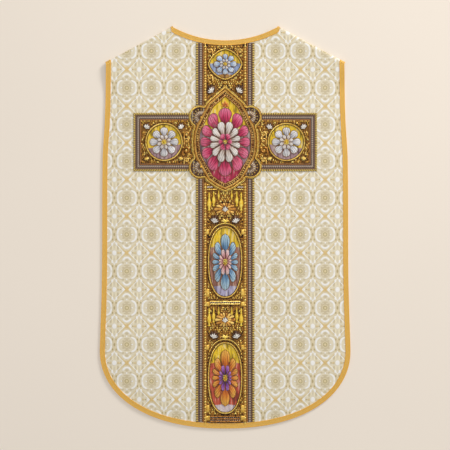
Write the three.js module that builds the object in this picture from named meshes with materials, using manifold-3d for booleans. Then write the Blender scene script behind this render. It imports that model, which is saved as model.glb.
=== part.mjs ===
// A fiddleback chasuble laid flat, back side up, with its front panel folded beneath it at the shoulders.
// Millimetres. +Z is up, +Y runs from the hem to the neck, and the origin is on the surface it lies on,
// under the middle of the garment. The back carries a cross of orphrey bands with a barbed quatrefoil
// medallion where they meet, and padded flowers in frames along the bands.
import * as THREE from "three";
import Module from "manifold-3d";

const wasm = await Module();
wasm.setup();

// Cloth
const CLOTH = 2.4; // brocade, interlining and lining, as one wall
const GAP = 0.3; // clearance between two pieces that meet
const CORNER_POWER = 2.2; // how square the rounded hem corners are: 2 would be an ellipse

// Back panel
const LENGTH = 1080; // neck point to hem
const TOP = LENGTH / 2;
const NECK_HALF = 139;
const NECK_BOTTOM = 38; // how far the neck dips below the neck points
const SHOULDER_SLOPE = THREE.MathUtils.degToRad(28.3);
const BACK_CORNER = 868; // from the neck points down to where the hem corners begin
const BACK_SIDE = [
  { down: 100, half: 319.5 },
  { down: 250, half: 323 },
  { down: 355, half: 329 },
  { down: 680, half: 331 },
  { down: BACK_CORNER, half: 336.5 },
];

// Shoulder fold: the back turns over the shoulder and ends in a seam beneath
const FOLD_RADIUS = 3; // to the middle of the cloth
const FOLD_REACH = 70; // how far in from the fold the roll still lifts the back
const FOLD_STEPS = 5;
const FLAP = 30; // from the fold to the shoulder seam
const RIM = 15; // width of the back's edge that lies on the surface

// Front panel, cut away at the chest for the arms
const FRONT_LENGTH = 1010;
const FRONT_NECK_DEPTH = 150;
const FRONT_CORNER = 850;
const FRONT_SIDE = [
  { down: 133, half: 298 },
  { down: 190, half: 264 },
  { down: 290, half: 252 },
  { down: 430, half: 254 },
  { down: 650, half: 272 },
  { down: FRONT_CORNER, half: 286 },
];

// Galloon, the woven gold edging
const GALLOON = 13;
const GALLOON_EDGE = 1;
const GALLOON_CROWN = 1.4;

// Orphrey bands, which make a cross on the back
const BAND_HALF = 78.5;
const ARM_HALF = 246.5;
const CROSS_DOWN = 311; // from the neck points to the middle of the arms
const BRAID = 20; // width of the braid along the bands' edges
const GROUND = 1.2; // thickness of the embroidered ground
const BRAID_SECTION = [
  { across: 0, rise: 1.2 },
  { across: 0.1, rise: 2.2 },
  { across: 0.22, rise: 1.5 },
  { across: 0.38, rise: 2.7 },
  { across: 0.62, rise: 2.7 },
  { across: 0.78, rise: 1.5 },
  { across: 0.9, rise: 2.2 },
  { across: 1, rise: 1.2 },
];

// Medallion: a body with a gable above and a blunt point below, and a round lobe at each corner.
// The body's right half from its side up to the gable, and from its side down to the point
const GABLE = [
  { across: 92, along: 0 },
  { across: 90, along: 26 },
  { across: 84, along: 46 },
  { across: 51, along: 108 },
  { across: 24, along: 132 },
  { across: 0, along: 152 },
];
const FOOT = [
  { across: 92, along: 0 },
  { across: 90, along: -28 },
  { across: 84, along: -48 },
  { across: 51, along: -106 },
  { across: 26, along: -124 },
  { across: 0, along: -136 },
];
const LOBE_CENTRE = 68; // of each lobe, both across and along
const LOBE_RADIUS = 31;
const LOBE_STEPS = 8;
const RIM_CORD = 6.5; // round the outline, and a second one of the same width round the field within

// Padded flowers and their cord frames, one row each. x and y are from the middle of the cross.
const FRAME_CORD = 7;
const MOTIFS = [
  { name: "upper", x: 0, y: 209, across: 96, along: 88, power: 1.6, petals: 8, flowerAcross: 62, flowerAlong: 56 },
  { name: "arm_left", x: -164, y: 0, across: 104, along: 106, power: 2, petals: 8, flowerAcross: 78, flowerAlong: 80 },
  { name: "arm_right", x: 164, y: 0, across: 104, along: 106, power: 2, petals: 8, flowerAcross: 78, flowerAlong: 80 },
  { name: "middle", x: 0, y: -322, across: 96, along: 196, power: 2.3, petals: 12, flowerAcross: 70, flowerAlong: 152 },
  { name: "lower", x: 0, y: -633, across: 96, along: 196, power: 2.3, petals: 12, flowerAcross: 70, flowerAlong: 152 },
];
const BOSSES = [
  { name: "boss_under_medallion", y: -180, across: 62, along: 34 },
  { name: "boss_between_frames", y: -477, across: 58, along: 40 },
];

const COLOURS = {
  brocade: { color: 0xd8cdb3, roughness: 0.6, metalness: 0 },
  galloon: { color: 0xe0a848, roughness: 0.4, metalness: 0.3 },
  goldwork: { color: 0x9c7430, roughness: 0.45, metalness: 0.4 },
  braid: { color: 0x75665f, roughness: 0.6, metalness: 0.1 },
  cord: { color: 0xc08c2c, roughness: 0.35, metalness: 0.6 },
  crimson: { color: 0xb8243f, roughness: 0.55, metalness: 0 },
  white: { color: 0xe2dfe2, roughness: 0.55, metalness: 0 },
  sky: { color: 0x9fb6d8, roughness: 0.55, metalness: 0 },
  blue: { color: 0x5b8bb0, roughness: 0.55, metalness: 0 },
  orange: { color: 0xc8702a, roughness: 0.55, metalness: 0 },
};

const group = new THREE.Group();

// Names a geometry, gives it its colour and adds it to the garment
function addPiece(name, geometry, colour) {
  const mesh = new THREE.Mesh(geometry, new THREE.MeshStandardMaterial(COLOURS[colour]));
  mesh.name = name;
  group.add(mesh);
}

// Outlines

const smooth = (share) => THREE.MathUtils.smoothstep(share, 0, 1);

// A panel's half-width at a height, on a smooth curve through the rows of its table
function halfWidth(table, y) {
  const down = THREE.MathUtils.clamp(TOP - y, table[0].down, table.at(-1).down);
  const next = Math.max(1, table.findIndex((row) => row.down >= down));
  const slope = (k) => {
    const above = table[Math.max(k - 1, 0)];
    const below = table[Math.min(k + 1, table.length - 1)];
    return (below.half - above.half) / (below.down - above.down);
  };
  const [a, b] = [table[next - 1], table[next]];
  const span = b.down - a.down;
  const t = (down - a.down) / span;
  const bend = t * (1 - t) * span * ((1 - t) * slope(next - 1) - t * slope(next));
  return a.half + (b.half - a.half) * t * t * (3 - 2 * t) + bend;
}

// The height of a rounded hem at x
function hemHeight(x, half, corner, length) {
  const share = Math.min(Math.abs(x) / half, 1);
  const drop = (length - corner) * (1 - share ** CORNER_POWER) ** (1 / CORNER_POWER);
  return TOP - corner - drop;
}

const backHalf = (y) => halfWidth(BACK_SIDE, y);
const frontHalf = (y) => halfWidth(FRONT_SIDE, y);
const backHem = (x) => hemHeight(x, BACK_SIDE.at(-1).half, BACK_CORNER, LENGTH);
const frontHem = (x) => hemHeight(x, FRONT_SIDE.at(-1).half, FRONT_CORNER, FRONT_LENGTH);

// Outward direction across the shoulder fold, on the +X side
const foldOut = new THREE.Vector2(Math.sin(SHOULDER_SLOPE), Math.cos(SHOULDER_SLOPE));
const FOLD_OUTER = FOLD_RADIUS + CLOTH / 2;
const neckPoint = new THREE.Vector2(NECK_HALF, TOP - FOLD_OUTER * foldOut.y);
const shoulderHeight = (x) => neckPoint.y - (Math.abs(x) - NECK_HALF) * Math.tan(SHOULDER_SLOPE);

const neckRise = neckPoint.y - (TOP - NECK_BOTTOM);
const NECK_RADIUS = (NECK_HALF ** 2 + neckRise ** 2) / (2 * neckRise);
const neckHeight = (x) => TOP - NECK_BOTTOM + NECK_RADIUS - Math.sqrt(NECK_RADIUS ** 2 - x ** 2);
const backTopEdge = (x) => (Math.abs(x) < NECK_HALF ? neckHeight(x) : shoulderHeight(x));

// Heights

// How far a point lies in from the nearer shoulder fold
function distanceFromFold(x, y) {
  const from = new THREE.Vector2(Math.abs(x), y).sub(neckPoint);
  const along = from.x * foldOut.y - from.y * foldOut.x;
  return along < 0 ? from.length() : -from.dot(foldOut);
}

// Underside of the back panel: up on the front panel, down on the surface at its rim, lifted at the fold
function backUnderside(x, y) {
  const ease = 16;
  const shortest = 14;
  const half = backHalf(y);
  const hem = backHem(x);
  const acrossSpan = Math.max(half - RIM - frontHalf(y) - ease, shortest);
  const alongSpan = Math.max(frontHem(x) - hem - RIM - ease, shortest);
  const across = smooth((half - RIM - Math.abs(x)) / acrossSpan);
  const along = smooth((y - hem - RIM) / alongSpan);
  const roll = 1 - smooth(distanceFromFold(x, y) / FOLD_REACH);
  return across * along * (CLOTH + GAP) * (1 - roll) + 2 * FOLD_RADIUS * roll;
}
const backFace = (x, y) => backUnderside(x, y) + CLOTH;

// Solids from corners. A corner has a point on the outer face and one on the inner face.

function corner(x, y, outer, inner) {
  return { outer: new THREE.Vector3(x, y, outer), inner: new THREE.Vector3(x, y, inner) };
}

// Quads between rows of corners. The rows run round a ring if closed.
function quadsBetween(rows, closed = false) {
  const quads = [];
  for (let j = 0; j + 1 < rows.length; j++) {
    const count = rows[j].length;
    for (let i = 0; i + (closed ? 0 : 1) < count; i++) {
      const next = (i + 1) % count;
      quads.push([rows[j][i], rows[j][next], rows[j + 1][next], rows[j + 1][i]]);
    }
  }
  return quads;
}

function geometryOf(points, index) {
  const geometry = new THREE.BufferGeometry().setFromPoints(points);
  geometry.setIndex(index);
  geometry.computeVertexNormals();
  return geometry;
}

// Closes faces, anticlockwise from outside, into a wall with its edges shut
function wall(faces) {
  const number = new Map();
  const points = [];
  const index = [];
  const at = (one) => {
    if (!number.has(one)) {
      number.set(one, points.length);
      points.push(one.outer, one.inner);
    }
    return number.get(one);
  };
  const inside = 1;
  const edges = new Set();
  for (const face of faces) {
    const ids = face.map(at);
    for (let k = 2; k < ids.length; k++) {
      index.push(ids[0], ids[k - 1], ids[k]);
      index.push(ids[0] + inside, ids[k] + inside, ids[k - 1] + inside);
    }
    ids.forEach((id, k) => edges.add(id + "," + ids[(k + 1) % ids.length]));
  }
  for (const edge of edges) {
    const [a, b] = edge.split(",").map(Number);
    if (edges.has(b + "," + a)) continue;
    index.push(b, a, a + inside, b, a + inside, b + inside);
  }
  return geometryOf(points, index);
}

// A level plate between two heights, from its outline
function plate(outline, top, base) {
  const corners = outline.map((p) => corner(p.x, p.y, top, base));
  const triangles = THREE.ShapeUtils.triangulateShape(outline, []);
  return wall(
    triangles.map((triangle) => {
      const face = triangle.map((k) => corners[k]);
      const clockwise = THREE.ShapeUtils.area(triangle.map((k) => outline[k])) < 0;
      return clockwise ? face.reverse() : face;
    }),
  );
}

// A padded relief: rings of top points from the outline in, a top centre, and a plain underside
function relief(rings, centre, base) {
  const count = rings[0].length;
  const points = [...rings.flat(), centre];
  const first = (ring) => ring * count;
  const middle = rings.length * count;
  const under = middle + 1;
  for (const point of rings[0]) points.push(new THREE.Vector3(point.x, point.y, base));
  points.push(new THREE.Vector3(centre.x, centre.y, base));
  const index = [];
  for (let i = 0; i < count; i++) {
    const next = (i + 1) % count;
    for (let ring = 0; ring + 1 < rings.length; ring++) {
      const [a, b, c, d] = [first(ring) + i, first(ring) + next, first(ring + 1) + next, first(ring + 1) + i];
      index.push(a, b, c, a, c, d);
    }
    index.push(first(rings.length - 1) + i, first(rings.length - 1) + next, middle);
    index.push(under + i, under + next, next, under + i, next, i);
    index.push(under + next, under + i, under + count);
  }
  return geometryOf(points, index);
}

// A geometry less the upright prism over an outline
function cutAway(geometry, outline) {
  const solid = (g) =>
    new wasm.Manifold(
      new wasm.Mesh({
        numProp: 3,
        vertProperties: new Float32Array(g.getAttribute("position").array),
        triVerts: new Uint32Array(g.index.array),
      }),
    );
  const high = 60;
  const mesh = solid(geometry).subtract(solid(plate(outline, high, -high))).getMesh();
  const points = [];
  for (let k = 0; k < mesh.vertProperties.length; k += mesh.numProp)
    points.push(new THREE.Vector3(...mesh.vertProperties.subarray(k, k + 3)));
  return geometryOf(points, [...mesh.triVerts]);
}

// Lines

// A line moved sideways to its left, with mitred bends
function moved(line, distance, closed = false) {
  return line.map((point, k) => {
    const before = closed ? line.at(k - 1) : line[Math.max(k - 1, 0)];
    const after = closed ? line[(k + 1) % line.length] : line[Math.min(k + 1, line.length - 1)];
    const into = (before === point ? after.clone().sub(point) : point.clone().sub(before)).normalize();
    const out = (after === point ? point.clone().sub(before) : after.clone().sub(point)).normalize();
    const left = new THREE.Vector2(-into.y - out.y, into.x + out.x).normalize();
    const mitre = left.dot(new THREE.Vector2(-into.y, into.x));
    return point.clone().addScaledVector(left, distance / mitre);
  });
}

// Evenly spread numbers from one to another, both included
const spread = (from, to, steps) => Array.from({ length: steps + 1 }, (_, k) => from + ((to - from) * k) / steps);

// Back panel

// Columns across the back, as shares of its half-width: closer at the rounded corners
const cornerShares = [0.54, 0.65, 0.75, 0.83, 0.89, 0.93, 0.965, 0.988, 1];
const neckShare = NECK_HALF / BACK_SIDE[0].half;
const neckShares = [0, 0.12, 0.21, 0.28, 0.335, 0.385, neckShare];
const oneSide = [...neckShares, ...cornerShares];
const BACK_COLUMNS = [...oneSide.slice(1).reverse().map((share) => -share), ...oneSide];

// Rows up the back, closer where its height changes
const ABOVE_HEM = [0, 13, 24, 35, 47, 60, 80];
const BELOW_TOP = [84, 72, 61, 51, 41, 32, 23, 15, 7, 0];
const MIDDLE_ROWS = 8;

// The heights of one column's rows, from hem to top edge
function columnHeights(share) {
  const x = share * BACK_SIDE.at(-1).half;
  const hem = backHem(x);
  const top = backTopEdge(share * BACK_SIDE[0].half);
  const low = hem + ABOVE_HEM.at(-1);
  const high = top - BELOW_TOP[0];
  return [
    ...ABOVE_HEM.map((above) => hem + above),
    ...spread(low, high, MIDDLE_ROWS).slice(1, -1),
    ...BELOW_TOP.map((below) => top - below),
  ];
}

// A corner on the fold or the flap beyond it. turn is the angle round the fold; high and low are the
// distances of the corner's two points from the middle of the cloth.
function foldCorner(from, turn, inward, high = CLOTH / 2, low = -CLOTH / 2) {
  const side = Math.sign(from.x);
  const out = new THREE.Vector3(side * foldOut.x, foldOut.y, 0);
  const normal = out.clone().multiplyScalar(Math.sin(turn));
  normal.z = Math.cos(turn);
  const middle = new THREE.Vector3(from.x, from.y, FOLD_RADIUS + CLOTH / 2)
    .addScaledVector(normal, FOLD_RADIUS)
    .addScaledVector(out, -inward);
  return {
    outer: middle.clone().addScaledVector(normal, high),
    inner: middle.clone().addScaledVector(normal, low),
  };
}

const backColumns = BACK_COLUMNS.map((share) =>
  columnHeights(share).map((y) => {
    const x = share * backHalf(y);
    const under = backUnderside(x, y);
    return corner(x, y, under + CLOTH, under);
  }),
);
const backRows = backColumns[0].map((_, row) => backColumns.map((column) => column[row]));

const turns = spread(0, Math.PI, FOLD_STEPS).slice(1);
function flapRows(columns) {
  const edge = columns.map((column) => column.at(-1));
  const from = edge.map((one) => new THREE.Vector3(one.outer.x, one.outer.y, 0));
  const round = turns.map((turn) => from.map((point) => foldCorner(point, turn, 0)));
  return [edge, ...round, from.map((point) => foldCorner(point, Math.PI, FLAP))];
}
const reachesFold = (share) => Math.abs(share) >= neckShare - 1e-6;
const leftFlap = flapRows(backColumns.filter((_, k) => BACK_COLUMNS[k] < 0 && reachesFold(BACK_COLUMNS[k])));
const rightFlap = flapRows(backColumns.filter((_, k) => BACK_COLUMNS[k] > 0 && reachesFold(BACK_COLUMNS[k])));

addPiece(
  "back_panel",
  wall([...quadsBetween(backRows), ...quadsBetween(leftFlap), ...quadsBetween(rightFlap)]),
  "brocade",
);

// Front panel and its galloon, edge to edge so that both lie flat on the surface

// The seam where the front meets the flap, on the +X side
const seamStart = neckPoint.clone().addScaledVector(foldOut, -(FLAP + GAP));
const seamHeight = (x) => seamStart.y - (Math.abs(x) - seamStart.x) * Math.tan(SHOULDER_SLOPE);

const FRONT_NECK_STEPS = 16;
const FRONT_SIDE_STEPS = 12;
const FRONT_HEM_SHARES = [1, 0.985, 0.95, 0.9, 0.82, 0.7, 0.55, 0.38, 0.2, 0];
const mirrored = (line) => line.map((p) => new THREE.Vector2(-p.x, p.y)).reverse();

// The front's neck from the left seam to the right one, a half ellipse
const frontNeck = spread(Math.PI, 0, FRONT_NECK_STEPS).map((angle) => {
  const low = TOP - FRONT_NECK_DEPTH;
  return new THREE.Vector2(seamStart.x * Math.cos(angle), seamStart.y - (seamStart.y - low) * Math.sin(angle));
});

// The front's edge from the right shoulder down and round the hem to the left shoulder
const sideTop = TOP - FRONT_SIDE[0].down;
const rightSide = spread(sideTop, TOP - FRONT_CORNER, FRONT_SIDE_STEPS).map(
  (y) => new THREE.Vector2(frontHalf(y), y),
);
rightSide[0].y = seamHeight(rightSide[0].x);
const rightHem = FRONT_HEM_SHARES.slice(1).map((share) => {
  const x = share * FRONT_SIDE.at(-1).half;
  return new THREE.Vector2(x, frontHem(x));
});
const rightEdge = [...rightSide, ...rightHem];
const frontEdge = [...rightEdge, ...mirrored(rightEdge).slice(1)].reverse();

// Slides the ends of a line along itself to the shoulder seam
function endAtSeam(line) {
  const slide = (end, beside) => {
    const step = end.clone().sub(beside);
    const off = (p) => p.y - seamHeight(p.x);
    const rate = off(end.clone().add(step)) - off(end);
    return end.clone().addScaledVector(step, -off(end) / rate);
  };
  return [slide(line[0], line[1]), ...line.slice(1, -1), slide(line.at(-1), line.at(-2))];
}

const flat = (line) => line.map((p) => corner(p.x, p.y, CLOTH, 0));
const edgeInner = endAtSeam(moved(frontEdge, GALLOON));
const edgePanel = endAtSeam(moved(frontEdge, GALLOON + GAP));
const neckInner = endAtSeam(moved(frontNeck, -GALLOON));
const neckPanel = endAtSeam(moved(frontNeck, -GALLOON - GAP));

addPiece("front_panel", plate([...edgePanel, ...[...neckPanel].reverse()], CLOTH, 0), "brocade");
addPiece("front_edge_galloon", wall(quadsBetween([flat(frontEdge), flat(edgeInner)])), "galloon");
addPiece("front_neck_galloon", wall(quadsBetween([flat(neckInner), flat(frontNeck)])), "galloon");

// Galloon on the back

// A raised strip on the back, between an outer and an inner line, from a table of its section. wraps are
// the angles round the shoulder fold at which its two ends go on.
function strip(outer, inner, section, wraps = []) {
  return wall(
    quadsBetween(
      section.map(({ across, rise }) => {
        const places = outer.map((p, k) => p.clone().lerp(inner[k], across));
        const lying = places.map(({ x, y }) => {
          const face = backFace(x, y);
          return corner(x, y, face + GAP + rise, face + GAP);
        });
        const over = (place) => wraps.map((turn) => foldCorner(place, turn, 0, CLOTH / 2 + GAP + rise, CLOTH / 2 + GAP));
        return [...over(places[0]).reverse(), ...lying, ...over(places.at(-1))];
      }),
    ),
  );
}
const QUARTER_FOLD = [...turns.slice(0, 2), Math.PI / 2];
const GALLOON_SECTION = [
  { across: 0, rise: GALLOON_EDGE },
  { across: 0.5, rise: GALLOON_CROWN },
  { across: 1, rise: GALLOON_EDGE },
];

const sideHeights = columnHeights(1).filter((y) => y > TOP - BACK_CORNER);
const leftSide = sideHeights.map((y) => new THREE.Vector2(-backHalf(y), y)).reverse();
const hemShares = [...cornerShares, 0.4, 0.27, 0.13].sort((a, b) => b - a);
const leftHem = hemShares.map((share) => {
  const x = -share * BACK_SIDE.at(-1).half;
  return new THREE.Vector2(x, backHem(x));
});
const leftEdge = [...leftSide, ...leftHem];
const hemMiddle = new THREE.Vector2(0, TOP - LENGTH);
const backEdge = [...leftEdge, hemMiddle, ...mirrored(leftEdge)];
const backEdgeInner = moved(backEdge, GALLOON);
const alongShoulder = (line) => [0, line.length - 1].forEach((k) => (line[k].y = shoulderHeight(line[k].x)));
alongShoulder(backEdgeInner);
addPiece("back_edge_galloon", strip(backEdge, backEdgeInner, GALLOON_SECTION, QUARTER_FOLD), "galloon");

const neckPlaces = BACK_COLUMNS.filter((share) => Math.abs(share) <= neckShare + 1e-6).reverse();
const neckLine = neckPlaces.map((share) => {
  const x = share * BACK_SIDE[0].half;
  return new THREE.Vector2(x, neckHeight(x));
});
const neckLower = moved(neckLine, GALLOON);
alongShoulder(neckLower);
addPiece("back_neck_galloon", strip(neckLine, neckLower, GALLOON_SECTION, QUARTER_FOLD), "galloon");

// Medallion outline

const crossY = TOP - CROSS_DOWN;
const faceZ = backFace(0, crossY); // the back's face is level under the cross
const groundTop = faceZ + GAP + GROUND;
const onGround = groundTop + GAP;
// From the medallion's side to its tip: the body's line, and the lobe's arc where that stands outside it
function quarter(table, direction) {
  const centre = new THREE.Vector2(LOBE_CENTRE, direction * LOBE_CENTRE);
  const line = table.map(({ across, along }) => new THREE.Vector2(across, along));
  const outside = (p) => p.distanceTo(centre) > LOBE_RADIUS;
  const first = line.findIndex((p) => !outside(p)); // the body's one corner that the lobe covers
  const crossing = (covered, free) => {
    let [low, high] = [0, 1];
    for (let k = 0; k < 40; k++) {
      const middle = (low + high) / 2;
      if (outside(covered.clone().lerp(free, middle))) high = middle;
      else low = middle;
    }
    return covered.clone().lerp(free, low).sub(centre);
  };
  const [from, to] = [line[first - 1], line[first + 1]].map((free) => {
    const place = crossing(line[first], free);
    return Math.atan2(place.y, place.x);
  });
  const arc = spread(from, to, LOBE_STEPS).map((angle) =>
    new THREE.Vector2(Math.cos(angle), Math.sin(angle)).multiplyScalar(LOBE_RADIUS).add(centre),
  );
  return [...line.slice(0, first), ...arc, ...line.slice(first + 1)];
}

// Anticlockwise round the medallion from its right side
function quatrefoil(grow = 0) {
  const [upper, lower] = [quarter(GABLE, 1), quarter(FOOT, -1)];
  const line = [
    ...upper,
    ...mirrored(upper).slice(1),
    ...mirrored(lower).reverse().slice(1),
    ...[...lower].reverse().slice(1, -1),
  ];
  for (const point of line) point.y += crossY;
  return moved(line, -grow, true);
}
// Anticlockwise round the body alone, moved inward
function bodyRing(inset) {
  const [upper, lower] = [GABLE, FOOT].map((table) => table.map((p) => new THREE.Vector2(p.across, crossY + p.along)));
  const line = [
    ...upper,
    ...mirrored(upper).slice(1),
    ...mirrored(lower).reverse().slice(1),
    ...[...lower].reverse().slice(1, -1),
  ];
  return moved(line, inset, true);
}
const medallionEdge = quatrefoil();
const medallionCut = quatrefoil(GAP);

// Orphrey grounds and braids

const groundHalf = BAND_HALF - BRAID - GAP;
const belowNeck = (x) => neckHeight(x) - (GALLOON + GAP) / Math.cos(Math.asin(x / NECK_RADIUS)) - GAP;
const aboveHem = (x) => backHem(x) + GALLOON + 3 * GAP;
const bandInto = crossY + LOBE_CENTRE; // the bands run in under the medallion's cut

// Rows of a band from its top to its bottom, across given places
function bandRows(places, heights) {
  return heights.map((heightAt) => places.map((x) => new THREE.Vector2(x, heightAt(x))));
}
const LOWER_ROWS = [-460, -472, -484, -495, -506, -516];
const upperHeights = [() => bandInto, belowNeck];
const lowerHeights = [aboveHem, ...[...LOWER_ROWS].reverse().map((y) => () => y), () => 2 * crossY - bandInto];

function bandGround(places, heights) {
  const rows = bandRows(places, heights).map((row) =>
    row.map((p) => {
      const face = backFace(p.x, p.y);
      return corner(p.x, p.y, face + GAP + GROUND, face + GAP);
    }),
  );
  return cutAway(wall(quadsBetween(rows)), medallionCut);
}
const groundPlaces = spread(-groundHalf, groundHalf, 6);
addPiece("orphrey_upper", bandGround(groundPlaces, upperHeights), "goldwork");
addPiece("orphrey_lower", bandGround(groundPlaces, lowerHeights), "goldwork");

// Braid along one edge of a band: a line up its outer edge and one up its inner edge
function bandBraid(side, heights) {
  const edges = [BAND_HALF, BAND_HALF - BRAID].map((x) =>
    heights.map((heightAt) => new THREE.Vector2(side * x, heightAt(x))),
  );
  const [outer, inner] = side > 0 ? edges : edges.map((line) => [...line].reverse());
  return cutAway(strip(outer, inner, BRAID_SECTION), medallionCut);
}
for (const [side, name] of [[-1, "left"], [1, "right"]]) {
  addPiece("braid_upper_" + name, bandBraid(side, upperHeights), "braid");
  addPiece("braid_lower_" + name, bandBraid(side, lowerHeights), "braid");
}

// An arm of the cross: three sides of braid round its ground, which runs in under the medallion's cut
function armLine(side, inset, start) {
  const end = ARM_HALF - inset;
  const high = BAND_HALF - inset;
  const line = [[start, -high], [end, -high], [end, high], [start, high]].map(
    ([x, y]) => new THREE.Vector2(side * x, crossY + y),
  );
  return side > 0 ? line : line.reverse();
}
for (const [side, name] of [[-1, "left"], [1, "right"]]) {
  const braid = strip(armLine(side, 0, BAND_HALF + GAP), armLine(side, BRAID, BAND_HALF + GAP), BRAID_SECTION);
  addPiece("braid_arm_" + name, cutAway(braid, medallionCut), "braid");
  const ground = plate(armLine(side, BRAID + GAP, groundHalf + 2 * GAP), groundTop, faceZ + GAP);
  addPiece("orphrey_arm_" + name, cutAway(ground, medallionCut), "goldwork");
}

// Medallion

addPiece(
  "medallion_ground",
  plate(medallionEdge, groundTop, faceZ + GAP),
  "goldwork",
);

// A raised cord round a closed outline that lies on a ground
function cordRing(outline, width, rise, baseAt) {
  const inner = moved(outline, width, true);
  const section = [
    { across: 0, share: 0.35 },
    { across: 0.5, share: 1 },
    { across: 1, share: 0.35 },
  ];
  const rows = section.map(({ across, share }) =>
    outline.map((p, k) => {
      const place = p.clone().lerp(inner[k], across);
      const base = baseAt(place);
      return corner(place.x, place.y, base + rise * share, base);
    }),
  );
  return wall(quadsBetween(rows, true));
}
addPiece("medallion_cord", cordRing(medallionEdge, RIM_CORD, 3.6, () => onGround), "cord");
addPiece("medallion_inner_cord", cordRing(bodyRing(RIM_CORD + 2 * GAP), RIM_CORD, 3.6, () => onGround), "cord");

// Flowers

// A padded flower: lobed rings inside an oval, each with its rise, about a raised centre
function flower({ x, y, across, along, petals, notch, rings, centreRise, base }) {
  const steps = petals * 4;
  const oval = (angle) => 1 / Math.hypot(Math.cos(angle) / (across / 2), Math.sin(angle) / (along / 2));
  const lobe = (angle, turn) => Math.abs(Math.cos((petals * (angle - turn)) / 2));
  const points = rings.map(({ reach, rise, valley, turned }) => {
    const turn = turned ? Math.PI / petals : 0;
    return spread(0, 2 * Math.PI, steps).slice(0, -1).map((angle) => {
      const petal = lobe(angle, turn);
      const radius = oval(angle) * reach * (1 - notch * (1 - petal ** 0.6));
      return new THREE.Vector3(
        x + radius * Math.cos(angle),
        y + radius * Math.sin(angle),
        base + THREE.MathUtils.lerp(valley, rise, petal),
      );
    });
  });
  return relief(points, new THREE.Vector3(x, y, base + centreRise), base);
}

const SINGLE_FLOWER = [
  { reach: 1, rise: 0.9, valley: 0.6 },
  { reach: 0.72, rise: 3.2, valley: 1 },
  { reach: 0.34, rise: 2.4, valley: 1.4 },
  { reach: 0.2, rise: 3.6, valley: 3.6 },
];
const DOUBLE_FLOWER = [
  { reach: 1, rise: 0.9, valley: 0.6 },
  { reach: 0.86, rise: 3, valley: 1.2 },
  { reach: 0.66, rise: 2.4, valley: 1.6 },
  { reach: 0.6, rise: 4.2, valley: 3, turned: true },
  { reach: 0.42, rise: 5, valley: 3.4, turned: true },
  { reach: 0.25, rise: 3.8, valley: 3.8 },
  { reach: 0.17, rise: 5.4, valley: 5.4 },
];
addPiece(
  "medallion_rose",
  flower({
    x: 0, y: crossY, across: 134, along: 184, petals: 12, notch: 0.24,
    rings: DOUBLE_FLOWER, centreRise: 6.4, base: onGround,
  }),
  "crimson",
);

const FLOWER_COLOURS = { upper: "sky", arm_left: "white", arm_right: "white", middle: "blue", lower: "orange" };
const FRAME_STEPS = 36;
for (const motif of MOTIFS) {
  const centreY = crossY + motif.y;
  const baseAt = (place) => backFace(place.x, place.y) + GAP + GROUND + GAP;
  const oval = spread(0, 2 * Math.PI, FRAME_STEPS).slice(0, -1).map((angle) => {
    const [c, s] = [Math.cos(angle), Math.sin(angle)];
    return new THREE.Vector2(
      motif.x + (motif.across / 2) * Math.sign(c) * Math.abs(c) ** (2 / motif.power),
      centreY + (motif.along / 2) * Math.sign(s) * Math.abs(s) ** (2 / motif.power),
    );
  });
  addPiece(motif.name + "_frame", cordRing(oval, FRAME_CORD, 2.8, baseAt), "cord");
  addPiece(
    motif.name + "_flower",
    flower({
      x: motif.x, y: centreY, across: motif.flowerAcross, along: motif.flowerAlong, petals: motif.petals,
      notch: 0.34, rings: SINGLE_FLOWER, centreRise: 4.4, base: onGround,
    }),
    FLOWER_COLOURS[motif.name],
  );
}

for (const boss of BOSSES)
  addPiece(
    boss.name,
    flower({
      x: 0, y: crossY + boss.y, across: boss.across, along: boss.along, petals: 6, notch: 0.28,
      rings: [{ reach: 1, rise: 1, valley: 0.7 }, { reach: 0.6, rise: 2.8, valley: 1.6 }],
      centreRise: 3.6, base: onGround,
    }),
    "cord",
  );

export default group;
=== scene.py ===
# %% [markdown]
# A fiddleback chasuble, laid flat with its back up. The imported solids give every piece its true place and
# size. This lesson dresses them: brocade, galloon, braid, cord, padded gold work and silk flowers.

# %% Load the frame
import math
import random

import bpy
import numpy as np
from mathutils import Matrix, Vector
from mathutils.bvhtree import BVHTree


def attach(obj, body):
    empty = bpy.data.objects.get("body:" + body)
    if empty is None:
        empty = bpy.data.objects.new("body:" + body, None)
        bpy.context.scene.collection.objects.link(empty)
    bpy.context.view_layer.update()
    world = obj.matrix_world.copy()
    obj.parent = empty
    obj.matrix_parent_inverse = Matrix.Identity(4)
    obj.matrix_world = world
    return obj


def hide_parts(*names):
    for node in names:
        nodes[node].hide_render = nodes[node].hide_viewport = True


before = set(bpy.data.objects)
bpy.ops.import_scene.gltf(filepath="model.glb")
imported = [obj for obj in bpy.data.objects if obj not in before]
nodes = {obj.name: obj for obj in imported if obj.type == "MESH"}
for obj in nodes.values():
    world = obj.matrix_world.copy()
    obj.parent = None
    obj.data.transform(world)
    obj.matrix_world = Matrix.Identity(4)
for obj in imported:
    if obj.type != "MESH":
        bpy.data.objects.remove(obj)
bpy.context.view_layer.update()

# %% [markdown]
# The garment's own sizes come first, in metres. They repeat what the solids were made from, so the fine
# pieces below follow the same edges.

# %% Sizes
TOP, LENGTH = 0.540, 1.080  # the neck points, and the length down from them
CORNER_DOWN, CORNER_POWER = 0.868, 2.2  # where the round hem corners begin, and how full they are
NECK_HALF, NECK_BOTTOM = 0.139, 0.038
SLOPE = math.radians(28.3)  # of the shoulders
FOLD = 0.0042  # radius of the cloth's outer face where it turns over the shoulder
# the back's half-width at some lengths down from the neck points
SIDE = np.array([(0.100, 0.3195), (0.250, 0.3230), (0.355, 0.3290), (0.680, 0.3310), (0.868, 0.3365)])
GALLOON, BRAID, GAP = 0.013, 0.020, 0.0003
BAND_HALF, ARM_HALF = 0.0785, 0.2465  # of the orphrey bands
CROSS_Y = TOP - 0.311

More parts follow.
